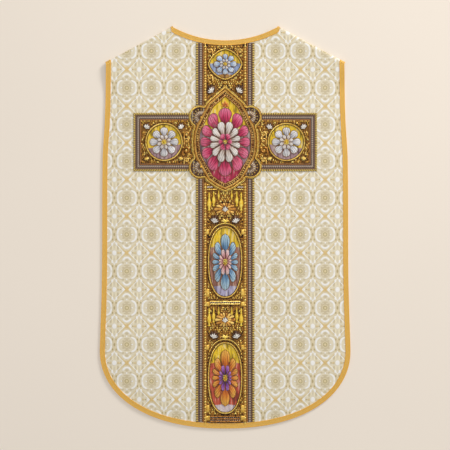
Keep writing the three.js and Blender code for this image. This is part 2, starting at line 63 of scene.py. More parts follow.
# %% [markdown]
# Cloth lies on cloth, so a small piece has to know how high the layer under it is. A ray sent straight
# down on to chosen solids answers that, as a finger pressed on the table would.

# %% Heights
def solid_tree(names):
    points, faces = [], []
    for mesh in [nodes[name].data for name in names]:
        first = len(points)
        points += [v.co.copy() for v in mesh.vertices]
        faces += [[first + k for k in p.vertices] for p in mesh.polygons]
    return BVHTree.FromPolygons(points, faces)


PANEL = solid_tree(["back_panel"])
GROUNDS = solid_tree([n for n in nodes if n.startswith("orphrey_")] + ["medallion_ground", "back_panel"])


def height(x, y, tree=GROUNDS):
    hit = tree.ray_cast(Vector((x, y, 0.1)), Vector((0, 0, -1)))[0]
    if hit is None:
        hit = tree.find_nearest(Vector((x, y, 0.012)))[0]
    return hit.z


NECK_Y = TOP - FOLD * math.cos(SLOPE)


def shoulder_y(x):
    return NECK_Y - (abs(x) - NECK_HALF) * math.tan(SLOPE)


def lay(x, y, rise):
    """Where a point is that rises above the cloth at x, y. Past the shoulder line it goes round the fold."""
    beyond = (y - shoulder_y(x)) * math.cos(SLOPE)
    if abs(x) < NECK_HALF - 1e-6 or beyond <= 0:
        return x, y, height(x, y, PANEL) + rise
    reach = (FOLD + rise) * math.sin(beyond / FOLD) - beyond
    x += math.copysign(math.sin(SLOPE), x) * reach
    return x, y + math.cos(SLOPE) * reach, FOLD + (FOLD + rise) * math.cos(beyond / FOLD)


print("panel face at the cross:", round(height(0.0, CROSS_Y, PANEL), 5))

# %% [markdown]
# The camera looks straight down, as in the photograph. The room is a plain pale floor with soft light from
# above and a gentle key from the upper right, which is where the photograph's shadow says it is.

# %% Camera, floor and light
scene = bpy.context.scene
scene.view_settings.view_transform = "Standard"


def add_object(name, data):
    made = bpy.data.objects.new(name, data)
    scene.collection.objects.link(made)
    return made


camera = add_object("camera", bpy.data.cameras.new("camera"))
camera.data.lens = 85
camera.data.sensor_width = 36
camera.data.clip_end = 30
camera.location = (-0.0005, 0.0064, 2.858)
scene.camera = camera

bpy.ops.object.select_all(action="DESELECT")
bpy.ops.mesh.primitive_plane_add(size=12, location=(0, 0, -0.0004))
floor = bpy.context.object
floor.name = "floor"

for name, place, size, power, colour in (
    ("key", (3.5, 4.1, 2.1), 1.5, 225, (1.0, 0.97, 0.93)),
    ("overhead", (-0.2, 0.3, 3.6), 3.0, 38, (1.0, 0.985, 0.96)),
):
    light = bpy.data.lights.new(name, "AREA")
    light.size, light.energy, light.color = size, power, colour
    lamp = add_object(name, light)
    lamp.location = place
    lamp.rotation_euler = (-Vector(place)).to_track_quat("-Z", "Y").to_euler()
scene.world = bpy.data.worlds.new("room")
scene.world.use_nodes = True
room = scene.world.node_tree.nodes["Background"].inputs
room["Color"].default_value = (0.95, 0.93, 0.90, 1)
room["Strength"].default_value = 0.45

# %% [markdown]
# Shader graphs are long to wire by hand. Here a wire from a node can be added and multiplied like a number,
# and each sum makes the node that works it out, so a finish reads as a few lines of arithmetic.

# %% Node helpers
def feed(socket, value):
    if isinstance(value, Wire):
        socket.id_data.links.new(value.socket, socket)
    else:
        socket.default_value = value


def add_node(tree, kind, inputs=(), **settings):
    made = tree.nodes.new("ShaderNode" + kind)
    for name, value in settings.items():
        setattr(made, name, value)
    for key, value in dict(inputs).items():
        feed(made.inputs[key], value)
    return made


class Wire:
    """The output of a shader node."""

    def __init__(self, socket):
        self.socket = socket

    def node(self, kind, inputs, output=0, **settings):
        return Wire(add_node(self.socket.id_data, kind, inputs, **settings).outputs[output])

    def math(self, operation, *others, **settings):
        return self.node("Math", dict(enumerate((self, *others))), operation=operation, **settings)

    def vector(self, operation, *others, output=0):
        return self.node("VectorMath", dict(enumerate((self, *others))), output, operation=operation)

    def __add__(self, other):
        return self.math("ADD", other)

    def __sub__(self, other):
        return self.math("SUBTRACT", other)

    def __mul__(self, other):
        return self.math("MULTIPLY", other)

    def __truediv__(self, other):
        return self.math("DIVIDE", other)

    def __pow__(self, other):
        return self.math("POWER", other)

    def __abs__(self):
        return self.math("ABSOLUTE")

    def ridges(self, rate):
        """Even ridges from 0 to 1."""
        return abs((self * rate).math("SINE"))

    def ramp(self, low, high):
        """0 at low, 1 at high, smooth between."""
        ends = {0: self, 1: low, 2: high, 3: 0.0, 4: 1.0}
        return self.node("MapRange", ends, interpolation_type="SMOOTHSTEP")

    def band(self, middle, half, soft=0.35):
        """1 near the middle, 0 outside."""
        return abs(self - middle).ramp(half * (1 + soft), half * (1 - soft))

    def mix(self, first, second):
        return self.node("Mix", {"Factor": self, 6: first, 7: second}, 2, data_type="RGBA")

    def join(self, second, third=0.0):
        return self.node("CombineXYZ", {0: self, 1: second, 2: third})

    def split(self):
        parts = add_node(self.socket.id_data, "SeparateXYZ", {0: self}).outputs
        return Wire(parts[0]), Wire(parts[1])

    def far(self, other):
        """How far the place with these two parts is from nought."""
        return self.join(other).vector("LENGTH", output="Value")

    def noise(self, scale, detail=2.0, output=0, **inputs):
        return self.node("TexNoise", {"Vector": self, "Scale": scale, "Detail": detail, **inputs}, output)


def rgb(red, green, blue):
    """A colour in 0 to 255, as seen on a screen, made linear for the shader."""
    linear = [((c / 255 + 0.055) / 1.055) ** 2.4 if c > 10 else c / 255 / 12.92 for c in (red, green, blue)]
    return (*linear, 1)


def dimmed(colour, share):
    return (*[c * share for c in colour[:3]], 1)


def new_group(name, inputs, outputs):
    """An empty shader group. Returns its tree, a wire from each input and the sockets of its outputs."""
    tree = bpy.data.node_groups.new(name, "ShaderNodeTree")
    for side, labels in (("INPUT", inputs), ("OUTPUT", outputs)):
        for label in labels:
            kind = "NodeSocketVector" if label == "Vector" else "NodeSocketFloat"
            tree.interface.new_socket(label, in_out=side, socket_type=kind)
    into, out = tree.nodes.new("NodeGroupInput"), tree.nodes.new("NodeGroupOutput")
    return tree, [Wire(into.outputs[label]) for label in inputs], out.inputs


def use_group(group, vector, **values):
    """Places a group at a vector. Returns a wire from each of its outputs, by name."""
    made = add_node(vector.socket.id_data, "Group", {"Vector": vector, **values}, node_tree=group)
    return {out.name: Wire(out) for out in made.outputs}


def object_place(tree):
    return Wire(add_node(tree, "TexCoord").outputs["Object"])


def new_material(name, roughness, metallic=0.0, sheen=0.0):
    """Returns the material, its shader's inputs and a wire from the place on the object."""
    material = bpy.data.materials.new(name)
    material.use_nodes = True
    inputs = material.node_tree.nodes["Principled BSDF"].inputs
    for label, value in (("Roughness", roughness), ("Metallic", metallic), ("Sheen Weight", sheen)):
        inputs[label].default_value = value
    return material, inputs, object_place(material.node_tree)


def surface(inputs, colour, level, distance, strength):
    """Gives a finish its colour and its fine relief."""
    feed(inputs["Base Color"], colour)
    feed(inputs["Normal"], level.node("Bump", {"Height": level, "Distance": distance, "Strength": strength}))


paint, inputs, place = new_material("floor_paint", 0.9)
PALE = rgb(247, 237, 225)
feed(inputs["Base Color"], place.noise(1.3).mix(PALE, dimmed(PALE, 0.95)))
floor.data.materials.append(paint)

# %% [markdown]
# Two effects are shared by many finishes. A weave is threads that cross, and a stitch is threads laid
# side by side. Each is a group, so that every cloth can place it at its own scale.

# %% Weave and stitch groups
WEAVE, (place, rate_x, rate_y), out = new_group("weave", ("Vector", "Across", "Along"), ("Height", "Shade"))
x, y = place.split()
crossing = (x * rate_x).math("SINE") * (y * rate_y).math("SINE") * 0.5 + 0.5
slub = place.noise(260.0, 3.0)
feed(out["Height"], slub * 0.35 + crossing)
feed(out["Shade"], slub * 0.6 + crossing * 0.3)

STITCH, (place, rate, length), out = new_group("stitch", ("Vector", "Threads", "Length"), ("Height", "Shade"))
x, y = place.split()
ragged = x.join(y / length).noise(900.0)
feed(out["Height"], ragged * 0.4 + x.ridges(rate))
feed(out["Shade"], ragged)

# %% [markdown]
# The brocade has a small repeat, 66.6 by 98.5 mm: a round medallion of petals in an oval gold band, whose
# ends cross those of the next. It mirrors in both directions, so one quarter is charted with ovals and
# bands, in millimetres from the medallion's centre.

# %% Brocade chart
HALF_U, HALF_V = 66.6 / 2, 98.5 / 2  # half the repeat across and along
REPEAT_AT = (-197.8, -117.7)  # one medallion's centre
THREADS = ("Gold", "Olive", "White", "Tan", "Pale", "Orange")
CHART, (place,), out = new_group("brocade chart", ("Vector",), THREADS)
u, v = [
    (part * 1000.0 - start).math("PINGPONG", half)
    for part, start, half in zip(place.split(), REPEAT_AT, (HALF_U, HALF_V))
]
off_band = u - (v * (math.pi / 2 / HALF_V)).math("COSINE") * HALF_U
radius = u.far(v)
petal_edge = (v.math("ARCTAN2", u) * 8.0).math("COSINE") * 2.2 + 14.0
squarish = ((u / 26.5) ** 3.0 + (v / 21.5) ** 3.0) ** (1 / 3)


def blob(at_u, at_v, half_u, half_v, soft=0.25):
    """1 inside an oval, 0 outside."""
    return ((u - at_u) / half_u).far((v - at_v) / half_v).ramp(1 + soft, 1 - soft)


FIGURE = dict(
    Gold=[
        off_band.band(0.0, 2.7) * (v.ramp(32.0, 42.0) * 0.5 + 0.5),
        blob(21.5, HALF_V, 4.4, 2.2), radius.ramp(2.0, 1.2),
    ],
    Olive=[
        radius.band(4.6, 2.1), blob(HALF_U, 0.0, 2.4, 4.6), blob(15.8, HALF_V, 1.9, 1.9),
        blob(HALF_U - 4.6, 13.5, 1.8, 3.0),
    ],
    White=[
        squarish.band(0.93, 0.085) * u.ramp(8.0, 16.0) * (v.ramp(1.0, 5.0) * 0.4 + 0.6),  # a roundel's sides
        u.far(v - 26.5).band(10.2, 2.2) * v.ramp(27.0, 31.0),  # its cap
        off_band.band(5.6, 1.1) * v.ramp(10.0, 16.0),  # a line outside the gold band
        blob(9.9, HALF_V, 3.0, 3.6), blob(HALF_U, HALF_V, 5.8, 6.6), blob(14.5, 0.0, 2.2, 1.9),
        blob(0.0, 22.0, 2.0, 2.0), blob(27.5, 25.6, 2.6, 4.2),
    ],
    Tan=[
        (radius - petal_edge).ramp(1.2, -1.2) * radius.ramp(6.5, 8.5), squarish.band(1.1, 0.035, 0.6) * 0.7,
        blob(0.0, 29.5, 4.6, 3.4), blob(0.0, 15.2, 8.4, 2.0), blob(HALF_U - 9.6, HALF_V - 15.0, 2.7, 7.4),
        blob(HALF_U - 9.4, HALF_V, 3.4, 4.4) * 0.6, blob(HALF_U, HALF_V - 18.0, 3.0, 6.4) * 0.3,
        blob(10.5, 22.5, 3.2, 3.2),
    ],
    Pale=[
        blob(HALF_U - 4.6, HALF_V - 15.0, 1.2, 8.0), blob(HALF_U - 15.0, HALF_V - 11.0, 1.3, 5.5),
        radius.ramp(8.2, 6.8),
    ],
    Orange=[blob(0.0, HALF_V, 5.6, 7.6, 0.45)],
)
for name, masks in FIGURE.items():
    largest = masks[0]
    for mask in masks[1:]:
        largest = largest.math("MAXIMUM", mask)
    feed(out[name], largest)
print("brocade chart:", len(CHART.nodes), "nodes")

# %% [markdown]
# Brocade is a silk cloth whose figure is woven in with extra threads. Each thread colour of the chart is laid
# over the ivory ground in turn. The place is nudged a little by noise, so that no edge is ruler-straight, and
# a fine weave gives the surface its grain. One material serves both panels, as one bolt of cloth would.

# %% Brocade
BROCADE_COLOURS = [
    ("Tan", rgb(196, 178, 136), 0.6),
    ("Pale", rgb(252, 240, 204), 0.85),
    ("Gold", rgb(224, 200, 144), 0.8),
    ("Orange", rgb(224, 188, 112), 0.6),
    ("Olive", rgb(168, 148, 88), 0.7),
    ("White", rgb(252, 252, 252), 0.9),
]
brocade, inputs, place = new_material("brocade", 0.5, 0.0, 0.15)
wobble = place.noise(70.0, 1.0, "Color").vector("SUBTRACT", (0.5, 0.5, 0.5))
chart = use_group(CHART, wobble.vector("MULTIPLY_ADD", (0.0016, 0.0016, 0.0), place))
weave = use_group(WEAVE, place, Across=9000.0, Along=7000.0)
colour = rgb(232, 222, 196)
for name, tint, strength in BROCADE_COLOURS:
    colour = (chart[name] * strength).mix(colour, tint)
shade = weave["Shade"] * 0.22 + 0.86
feed(inputs["Metallic"], chart["Gold"] * 0.25)
raised = weave["Height"] * 0.25 + chart["Gold"].math("MAXIMUM", chart["White"])
surface(inputs, colour.vector("MULTIPLY", shade.join(shade, shade)), raised, 0.0004, 0.6)

# %% [markdown]
# Each panel is the solid's own form. Its copy is merged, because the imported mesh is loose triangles, and
# shaded smoothly with its thin edges kept sharp.

# %% Panels
def pick(piece, smooth=None):
    """Selects one piece, and shades it smoothly across edges under an angle in degrees."""
    bpy.ops.object.select_all(action="DESELECT")
    bpy.context.view_layer.objects.active = piece
    piece.select_set(True)
    if smooth is not None:
        bpy.ops.object.shade_smooth_by_angle(angle=math.radians(smooth))


def finish_piece(piece, slot, material, *replaced):
    piece.data.materials.append(material)
    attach(piece, "root")
    if replaced:
        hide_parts(*replaced)
    print(piece.name, "faces:", len(piece.data.polygons))
    return piece


def dress_solid(source, name, slot, material):
    """A merged copy of one solid's mesh, as a new object at the origin, in its place."""
    piece = add_object(name, nodes[source].data.copy())
    piece.data.materials.clear()
    pick(piece)
    bpy.ops.object.mode_set(mode="EDIT")
    bpy.ops.mesh.select_all(action="SELECT")
    bpy.ops.mesh.remove_doubles(threshold=1e-5)
    bpy.ops.object.mode_set(mode="OBJECT")
    pick(piece, 40)
    return finish_piece(piece, slot, material, source)


back_cloth = dress_solid("back_panel", "back_cloth", "brocade", brocade)
front_cloth = dress_solid("front_panel", "front_cloth", "brocade", brocade)

# %% [markdown]
# Galloon and braid are narrow woven bands. Each is made as a ribbon: a path, a width, and a rule for how
# high the weave rises at each place. Its own map gives the weave's direction to the shader.

# %% Ribbons
def grid_faces(rows, columns, rows_round=False, columns_round=False):
    faces = []
    for j in range(rows if rows_round else rows - 1):
        for k in range(columns if columns_round else columns - 1):
            here, there, n = j * columns, (j + 1) % rows * columns, (k + 1) % columns
            faces.append((here + k, here + n, there + n, there + k))
    return faces


def tube(rows, sides, closed=False):
    """The faces through rings of points, with both ends capped or, if closed, with the ends joined."""
    faces = [face[::-1] for face in grid_faces(rows, sides, closed, True)]
    first = tuple(range(sides))
    return faces if closed else faces + [first, tuple(k + (rows - 1) * sides for k in first)[::-1]]


def side_half(y):
    """The back's half-width at a height, on the smooth curve through its table."""
    down, half = SIDE.T
    above, below = np.r_[0, 0:4], np.r_[1:5, 4]
    slope = (half[below] - half[above]) / (down[below] - down[above])
    at = min(max(TOP - y, down[0]), down[-1])
    k = max(1, np.searchsorted(down, at))
    span = down[k] - down[k - 1]
    t = (at - down[k - 1]) / span
    bend = t * (1 - t) * span * ((1 - t) * slope[k - 1] - t * slope[k])
    return half[k - 1] + (half[k] - half[k - 1]) * t * t * (3 - 2 * t) + bend


def lengths(points):
    """How far along a line each of its points lies."""
    return np.r_[0, np.cumsum(np.linalg.norm(np.diff(points, axis=0), axis=1))]


def resampled(points, step):
    """The same line with evenly spaced points, and how far along each lies."""
    points = np.array(points, float)
    far = lengths(points)
    at = np.linspace(0, far[-1], max(2, round(far[-1] / step)) + 1)
    return np.c_[np.interp(at, far, points[:, 0]), np.interp(at, far, points[:, 1])], at


def directions(line, closed=False):
    way = np.roll(line, -1, axis=0) - np.roll(line, 1, axis=0) if closed else np.gradient(line, axis=0)
    return way / np.linalg.norm(way, axis=1)[:, None]


def moved(line, distance, closed=False):
    """A line moved to its left."""
    way = directions(line, closed)
    return line + distance * np.c_[-way[:, 1], way[:, 0]]


def add_mesh(name, points, faces, uv=None):
    mesh = bpy.data.meshes.new(name)
    mesh.from_pydata([tuple(p) for p in points], [], [tuple(f) for f in faces])
    if uv is not None:
        layer = mesh.uv_layers.new(name="thread")
        loops = np.zeros(len(mesh.loops), np.int32)
        mesh.loops.foreach_get("vertex_index", loops)
        layer.data.foreach_set("uv", np.asarray(uv, np.float32)[loops].ravel())
    mesh.validate()
    return add_object(name, mesh)


def ribbon(name, outer, inner, along, columns, rise):
    """A closed band between two lines of equal count, outer on the right hand. rise(along, across) is its
    top above the layer below, and across goes from 0 at the outer line to 1 at the inner."""
    points, uv = [], []
    for out, into, far in zip(outer, inner, along):
        profile = [(share, rise(far, share)) for share in np.linspace(0, 1, columns)] + [(1, 0.0), (0, 0.0)]
        for share, up in profile:
            points.append(lay(*(out * (1 - share) + into * share), GAP + up))
            uv.append((far, share))
    return add_mesh(name, points, [face[-1:] + face[:-1] for face in tube(len(outer), columns + 2)], uv)


def galloon_rise(along, across):
    """Two corded edges with a woven middle of low chevrons."""
    edge = max(0.0, 1 - abs(min(across, 1 - across) - 0.08) / 0.08)
    chevron = abs(math.sin((along * 1000 / 3.2 + abs(across - 0.5) * 2.2) * math.pi))
    return 0.00085 + 0.0005 * edge**0.5 + 0.00022 * chevron * (1 - edge)


def hem_y(x):
    full = (1 - min(abs(x) / SIDE[-1, 1], 1) ** CORNER_POWER) ** (1 / CORNER_POWER)
    return TOP - CORNER_DOWN - (LENGTH - CORNER_DOWN) * full


ROUND_FOLD = FOLD * math.pi / 2 * np.array([0.25, 0.5, 0.75, 1.0])  # places a quarter of the way round it


def past_shoulder(x, y):
    """Where a line that ends on the shoulder goes on to, round the fold."""
    return [(x + math.copysign(math.sin(SLOPE), x) * s, y + math.cos(SLOPE) * s) for s in ROUND_FOLD]


def galloon_ribbon(name, points):
    """Galloon on the left of a line that runs from shoulder to shoulder."""
    line, along = resampled(points, 0.0016)
    inner = moved(line, GALLOON)
    for end in (0, -1):
        inner[end][1] = shoulder_y(inner[end][0])
    edges = [np.r_[past_shoulder(*e[0])[::-1], e, past_shoulder(*e[-1])] for e in (line, inner)]
    return ribbon(name, *edges, np.r_[-ROUND_FOLD[::-1], along, along[-1] + ROUND_FOLD], 13, galloon_rise)


ys = np.linspace(shoulder_y(SIDE[0, 1]), TOP - CORNER_DOWN, 160)
hem_xs = [-SIDE[-1, 1] * math.cos(a) ** (2 / CORNER_POWER) for a in np.linspace(0, math.pi / 2, 90)[1:]]
left_edge = [(-side_half(y), y) for y in ys] + [(x, hem_y(x)) for x in hem_xs]
edge_galloon = galloon_ribbon("edge_galloon", left_edge + [(-x, y) for x, y in left_edge[-2::-1]])

neck_rise = NECK_Y - (TOP - NECK_BOTTOM)
NECK_RADIUS = (NECK_HALF**2 + neck_rise**2) / (2 * neck_rise)


def neck_y(x):
    return TOP - NECK_BOTTOM + NECK_RADIUS - math.sqrt(NECK_RADIUS**2 - x**2)


neck_line = [(x, neck_y(x)) for x in np.linspace(NECK_HALF, -NECK_HALF, 120)]
neck_galloon = galloon_ribbon("neck_galloon", neck_line)

# %% [markdown]
# Galloon is woven from gold thread over a cotton core. Its own map runs along the band, so the chevrons turn
# with it round the hem. The hidden front galloon keeps its solid's mesh, which has no such map, and takes a
# plain woven gold instead.

# %% Galloon finish
def thread_map(material):
    """Wires from a piece's own map: whole, along the thread in metres, and across from 0 to 1."""
    thread = Wire(add_node(material.node_tree, "UVMap", uv_map="thread").outputs[0])
    return thread, *thread.split()


galloon, inputs, _ = new_material("galloon_gold", 0.42, 0.25, 0.1)
_, along, across = thread_map(galloon)
weave = use_group(WEAVE, along.join(across * GALLOON), Across=7000.0, Along=5200.0)
off = abs(across - 0.5)
chevron = (along * (1000 / 3.2) + off * 2.2).ridges(math.pi)
# Painted highlight and painted shade: the gold is lighter on the chevron ridges and darker in their troughs, the
# same chevrons the ribbon's relief rises in.
colour = chevron.mix(rgb(206, 144, 52), rgb(254, 210, 104))
colour = off.ramp(0.33, 0.42).mix(colour, rgb(255, 190, 50))
surface(inputs, (weave["Shade"] * 0.35).mix(colour, rgb(176, 116, 40)), weave["Height"], 0.00025, 0.7)
finish_piece(edge_galloon, "galloon", galloon, "back_edge_galloon")
finish_piece(neck_galloon, "galloon", galloon, "back_neck_galloon")

galloon_flat, inputs, place = new_material("galloon_gold_flat", 0.42, 0.25, 0.1)
weave = use_group(WEAVE, place, Across=7000.0, Along=5200.0)
surface(inputs, weave["Shade"].mix(rgb(232, 188, 104), rgb(176, 122, 52)), weave["Height"], 0.00025, 0.7)
for name in ("front_edge_galloon", "front_neck_galloon"):
    dress_solid(name, name + "_woven", "galloon", galloon_flat)

# %% [markdown]
# The band's braid has, from its outside in: a picot edge of small gold loops, a mauve-brown cord, a ribbed
# grey plait and a gold-brown cord, with dark gaps between. It could be a flat strip with a picture of these on
# it, but the loops and ribs catch the light, so the ribbon's height follows them too.

# %% Braid relief
PICOT = 0.0064  # one loop
RIB = 0.0062  # one rib of the plait
TWIST = 0.0044  # one turn of its cords
BRAID_PARTS = {  # the middle and half-width of each part, as shares of the braid's width from its outside
    "picots": (0.135, 0.135), "rib": (0.345, 0.055), "plait": (0.635, 0.145), "cord": (0.94, 0.06),
}


def braid_rise(along, across):
    for name, (middle, half) in BRAID_PARTS.items():
        off = abs(across - middle) / half
        if off >= 1:
            continue
        if name == "picots":
            from_loop = abs(2 * (along / PICOT % 1) - 1)
            return 0.0005 + 0.0021 * math.sqrt(max(0.0, 1 - off**2 - 0.85 * from_loop**2))
        if name == "plait":
            rib = abs(math.sin((along / RIB + off * 0.5) * math.pi))
            return 0.0009 + 0.0014 * (1 - off**2) * (0.45 + 0.55 * rib**0.7)
        twist = abs(math.sin((along / TWIST + across * 3) * math.pi))
        return 0.0008 + 0.0014 * math.sqrt(1 - off**2) * (0.6 + 0.4 * twist)
    return 0.0006


def lobe_reach(x, sign):
    """How far up or down the medallion's lobe covers a vertical line at x."""
    centre, radius = 0.068, 0.0313
    return CROSS_Y + sign * (centre + math.sqrt(max(radius**2 - (abs(x) - centre) ** 2, 0)))


# %% [markdown]
# The braid's colours follow the same parts as its relief. Each part darkens between its loops or ribs, where
# the real one lies in its own shadow, and noise wears the gold away here and there.

# %% Braid finish
BRAID_COLOURS = [
    ("picots", PICOT, rgb(226, 194, 98)),
    ("rib", TWIST, rgb(166, 126, 102)),
    ("plait", RIB, rgb(188, 168, 150)),
    ("cord", TWIST, rgb(214, 140, 66)),
]
braid, inputs, place = new_material("braid_mauve", 0.5, 0.1, 0.2)
_, along, across = thread_map(braid)
colour = rgb(56, 32, 22)
for name, pitch, tint in BRAID_COLOURS:
    middle, half = BRAID_PARTS[name]
    light = along.ridges(math.pi / pitch).ramp(0.35, 0.85) * 0.85 + 0.15
    colour = (across.band(middle, half * 0.94, 0.12) * light).mix(colour, tint)
colour = (place.noise(60.0).ramp(0.5, 0.75) * 0.4).mix(colour, rgb(96, 66, 44))
weave = use_group(WEAVE, along.join(across * BRAID), Across=9000.0, Along=6500.0)
surface(inputs, colour, weave["Height"], 0.0002, 0.6)

# %% [markdown]
# The braids are cut at the medallion's lobes and at the neck. On the arms one length goes out, across the
# end and back, with its corners mitred.

# %% Braids
STEP = 0.0012  # between the places on a braid


def lay_braid(word, outer, inner, along):
    finish_piece(ribbon("plait_" + word, outer, inner, along, 32, braid_rise), "braid", braid, "braid_" + word)


for side, word in ((-1, "left"), (1, "right")):
    x_mid = side * (BAND_HALF - BRAID / 2)
    for level, low, high in (
        ("upper", lobe_reach(0.058, 1) + 0.0002, neck_y(x_mid) - GALLOON - 0.0012),
        ("lower", hem_y(x_mid) + GALLOON + 0.0012, lobe_reach(0.058, -1) - 0.0002),
    ):
        ys = np.arange(low, high, STEP) if side > 0 else np.arange(high, low, -STEP)
        edges = [np.c_[np.full(len(ys), side * half), ys] for half in (BAND_HALF, BAND_HALF - BRAID)]
        lay_braid(f"{level}_{word}", *edges, abs(ys - ys[0]))

    corners = [(0.0975, -1), (ARM_HALF, -1), (ARM_HALF, 1), (0.0975, 1)][::side]
    outer = [(side * x, CROSS_Y + s * BAND_HALF) for x, s in corners]
    inner = [(side * min(x, ARM_HALF - BRAID), CROSS_Y + s * (BAND_HALF - BRAID)) for x, s in corners]
    far = lengths(outer)
    along = [np.linspace(a, b, round((b - a) / STEP) + 1)[:-1] for a, b in zip(far, far[1:])]
    along = np.concatenate(along + [far[-1:]])
    edges = [np.column_stack([np.interp(along, far, part) for part in zip(*line)]) for line in (outer, inner)]
    lay_braid("arm_" + word, *edges, along)

# %% [markdown]
# The orphrey grounds are laid gold: fine metal threads side by side, held down by small brown stitches.
# Between the raised scrolls they read as dark gold.

# %% Laid gold grounds
def laid_gold(name, light):
    material, inputs, place = new_material(name, 0.45, 0.35)
    stitch = use_group(STITCH, place, Threads=4200.0, Length=6.0)
    x, y = place.split()
    line = abs(x).join(y).noise(45.0, 1.0, Distortion=1.2).ridges(34.0).ramp(0.4, 0.8)
    colour = (stitch["Shade"] * 0.5).mix(line.mix(rgb(46, 22, 10), light), rgb(54, 32, 16))
    surface(inputs, colour, line * 1.5 + stitch["Height"], 0.0005, 0.8)
    return material


band_ground = laid_gold("laid_gold", rgb(200, 140, 58))
for name in ("orphrey_upper", "orphrey_lower", "orphrey_arm_left", "orphrey_arm_right"):
    dress_solid(name, name + "_laid", "goldwork", band_ground)
medallion_ground = laid_gold("laid_red_gold", rgb(166, 98, 50))
dress_solid("medallion_ground", "medallion_ground_laid", "goldwork", medallion_ground)

# %% [markdown]
# Raised gold work is built from a few small shapes: a leaf, a bead, a turned spindle and a curling scroll.
# On the real band each is a bit of felt or string under gold thread. Here each is modelled once, lying flat
# and pointing up the band, and its copies are laid on the ground like stamps.

# %% Small shapes
def closed_grid(rows, columns):
    """The faces of a raised grid, with its underside in strips and its two ends closed."""
    left, right = [j * columns for j in range(rows)], [j * columns + columns - 1 for j in range(rows)]
    faces = grid_faces(rows, columns)
    faces += [(left[j], left[j + 1], right[j + 1], right[j]) for j in range(rows - 1)]
    faces += [tuple(range(columns))[::-1], tuple((rows - 1) * columns + k for k in range(columns))]
    return faces


def pad(half_widths, rise, columns=5):
    """A padded shape from its half-width at each height, in millimetres. Its foot is at the origin."""
    points, uv = [], []
    widest = max(half for _, half in half_widths)
    for y, half in half_widths:
        for u in np.linspace(-1, 1, columns):
            points.append((u * half, y, rise * (half / widest) ** 0.6 * math.sqrt(1 - u * u)))
            uv.append((u * half / 1000, (y - half_widths[0][0]) / (half_widths[-1][0] - half_widths[0][0])))
    return dict(points=np.array(points) / 1000, faces=closed_grid(len(half_widths), columns), uv=uv)


def leaf(length, half, rise, rows=6):
    """Narrow at its foot, full below its middle, pointed at its tip."""
    outline = []
    for j in range(rows):
        v = j / (rows - 1)
        outline.append((length * v, half * (0.06 + 0.94 * math.sin(math.pi * v**0.75) ** 0.9)))
    return pad(outline, rise)


def dome(radius, rise, sides=8):
    points, uv = [], []
    for up in (0, 35, 65):
        c, s = math.cos(math.radians(up)), math.sin(math.radians(up))
        for k in range(sides):
            turn = 2 * math.pi * k / sides
            points.append((radius * c * math.cos(turn), radius * c * math.sin(turn), rise * s / 0.95))
            uv.append((k / sides, up / 90))
    return dict(points=np.array(points) / 1000, faces=[face[::-1] for face in tube(3, sides)], uv=uv)


def cord(path, radii, sides=5, flat=0.9):
    """A cord along a flat path in millimetres, thick as its radii say."""
    path = np.array(path, float)
    points, uv = [], []
    for place, way, radius, far in zip(path, directions(path), radii, lengths(path)):
        for k in range(sides):
            turn = 2 * math.pi * k / sides + math.pi / 2
            out = radius * math.cos(turn)
            rise = radius * flat * (1 + math.sin(turn))
            points.append((place[0] + way[1] * out, place[1] - way[0] * out, rise))
            uv.append((far / 1000, k / sides))
    return dict(points=np.array(points) / 1000, faces=tube(len(path), sides), uv=uv)


CELL_WIDE, CELL_HIGH = 16.16, 17.5
curl = [(1.2, -1.0), (1.1, 2.0), (1.1, 4.6)]
for share in np.linspace(0, 1, 11):
    turn = math.radians(200 - 400 * share)
    reach = 7.0 * (1 - 0.62 * share)
    curl.append((8.2 + reach * math.cos(turn), 9.2 + reach * math.sin(turn)))
SCROLL = cord(curl, np.linspace(1.7, 1.15, len(curl)))
LEAF = leaf(8.5, 2.6, 2.0)
BLADE = leaf(6.0, 1.5, 1.4, 5)
SLIM_LEAF = leaf(8.0, 1.95, 1.6)
LOZENGE = pad([(0, 0.3), (2.4, 1.5), (4.6, 2.2), (6.8, 1.5), (9.2, 0.3)], 1.7)
BEAD = dome(1.6, 1.5)
SPINDLE = pad(
    [(0, 0.5), (1, 1.9), (3, 2.3), (5, 1.0), (8, 1.6), (14, 3.1), (21, 3.0), (28, 1.4), (31, 0.9), (33, 1.8),
     (35, 0.8), (38, 1.5), (44, 0.3)],
    2.6, 7,
)
print("scroll faces:", len(SCROLL["faces"]), "leaf faces:", len(LEAF["faces"]))

# %% [markdown]
# A heap gathers the copies of one colour into one mesh. It keeps a tint for each copy, because hand-laid
# gold never has quite the same colour twice. The seed is fixed, so the piece comes out the same each time.

# %% Laying the shapes down
chance = random.Random(11)


class Heap:
    """Many small raised shapes, gathered into one mesh."""

    def __init__(self):
        self.points, self.faces, self.uv, self.tints = [], [], [], []

    def put(self, shape, x, y, turn=0.0, size=1.0, mirror=1, tint=None, lift=GAP, wide=1.0):
        """Lays a copy with its origin at x, y in millimetres, turned anticlockwise in degrees."""
        c, s = math.cos(math.radians(turn)), math.sin(math.radians(turn))
        first = len(self.points)
        for px, py, pz in shape["points"]:
            px, py = px * size * wide * mirror, py * size
            at_x, at_y = x / 1000 + px * c - py * s, y / 1000 + px * s + py * c
            self.points.append((at_x, at_y, height(at_x, at_y) + lift + pz * size))
        self.faces += [tuple(first + k for k in face[::mirror]) for face in shape["faces"]]
        self.uv += shape["uv"]
        self.tints += [chance.random() if tint is None else tint] * len(shape["points"])

    def pair(self, shape, x, y, turn=0.0, **rest):
        """The same shape on both sides of the garment's middle."""
        rest.setdefault("tint", chance.random())
        self.put(shape, x, y, turn, **rest)
        self.put(shape, -x, y, -turn, mirror=-1, **rest)

    def piece(self, name, slot, material, *replaced):
        made = add_mesh(name, self.points, self.faces, self.uv)
        tint = made.data.attributes.new("tint", "FLOAT", "POINT")
        tint.data.foreach_set("value", np.array(self.tints, np.float32))
        pick(made, 50)
        return finish_piece(made, slot, material, *replaced)


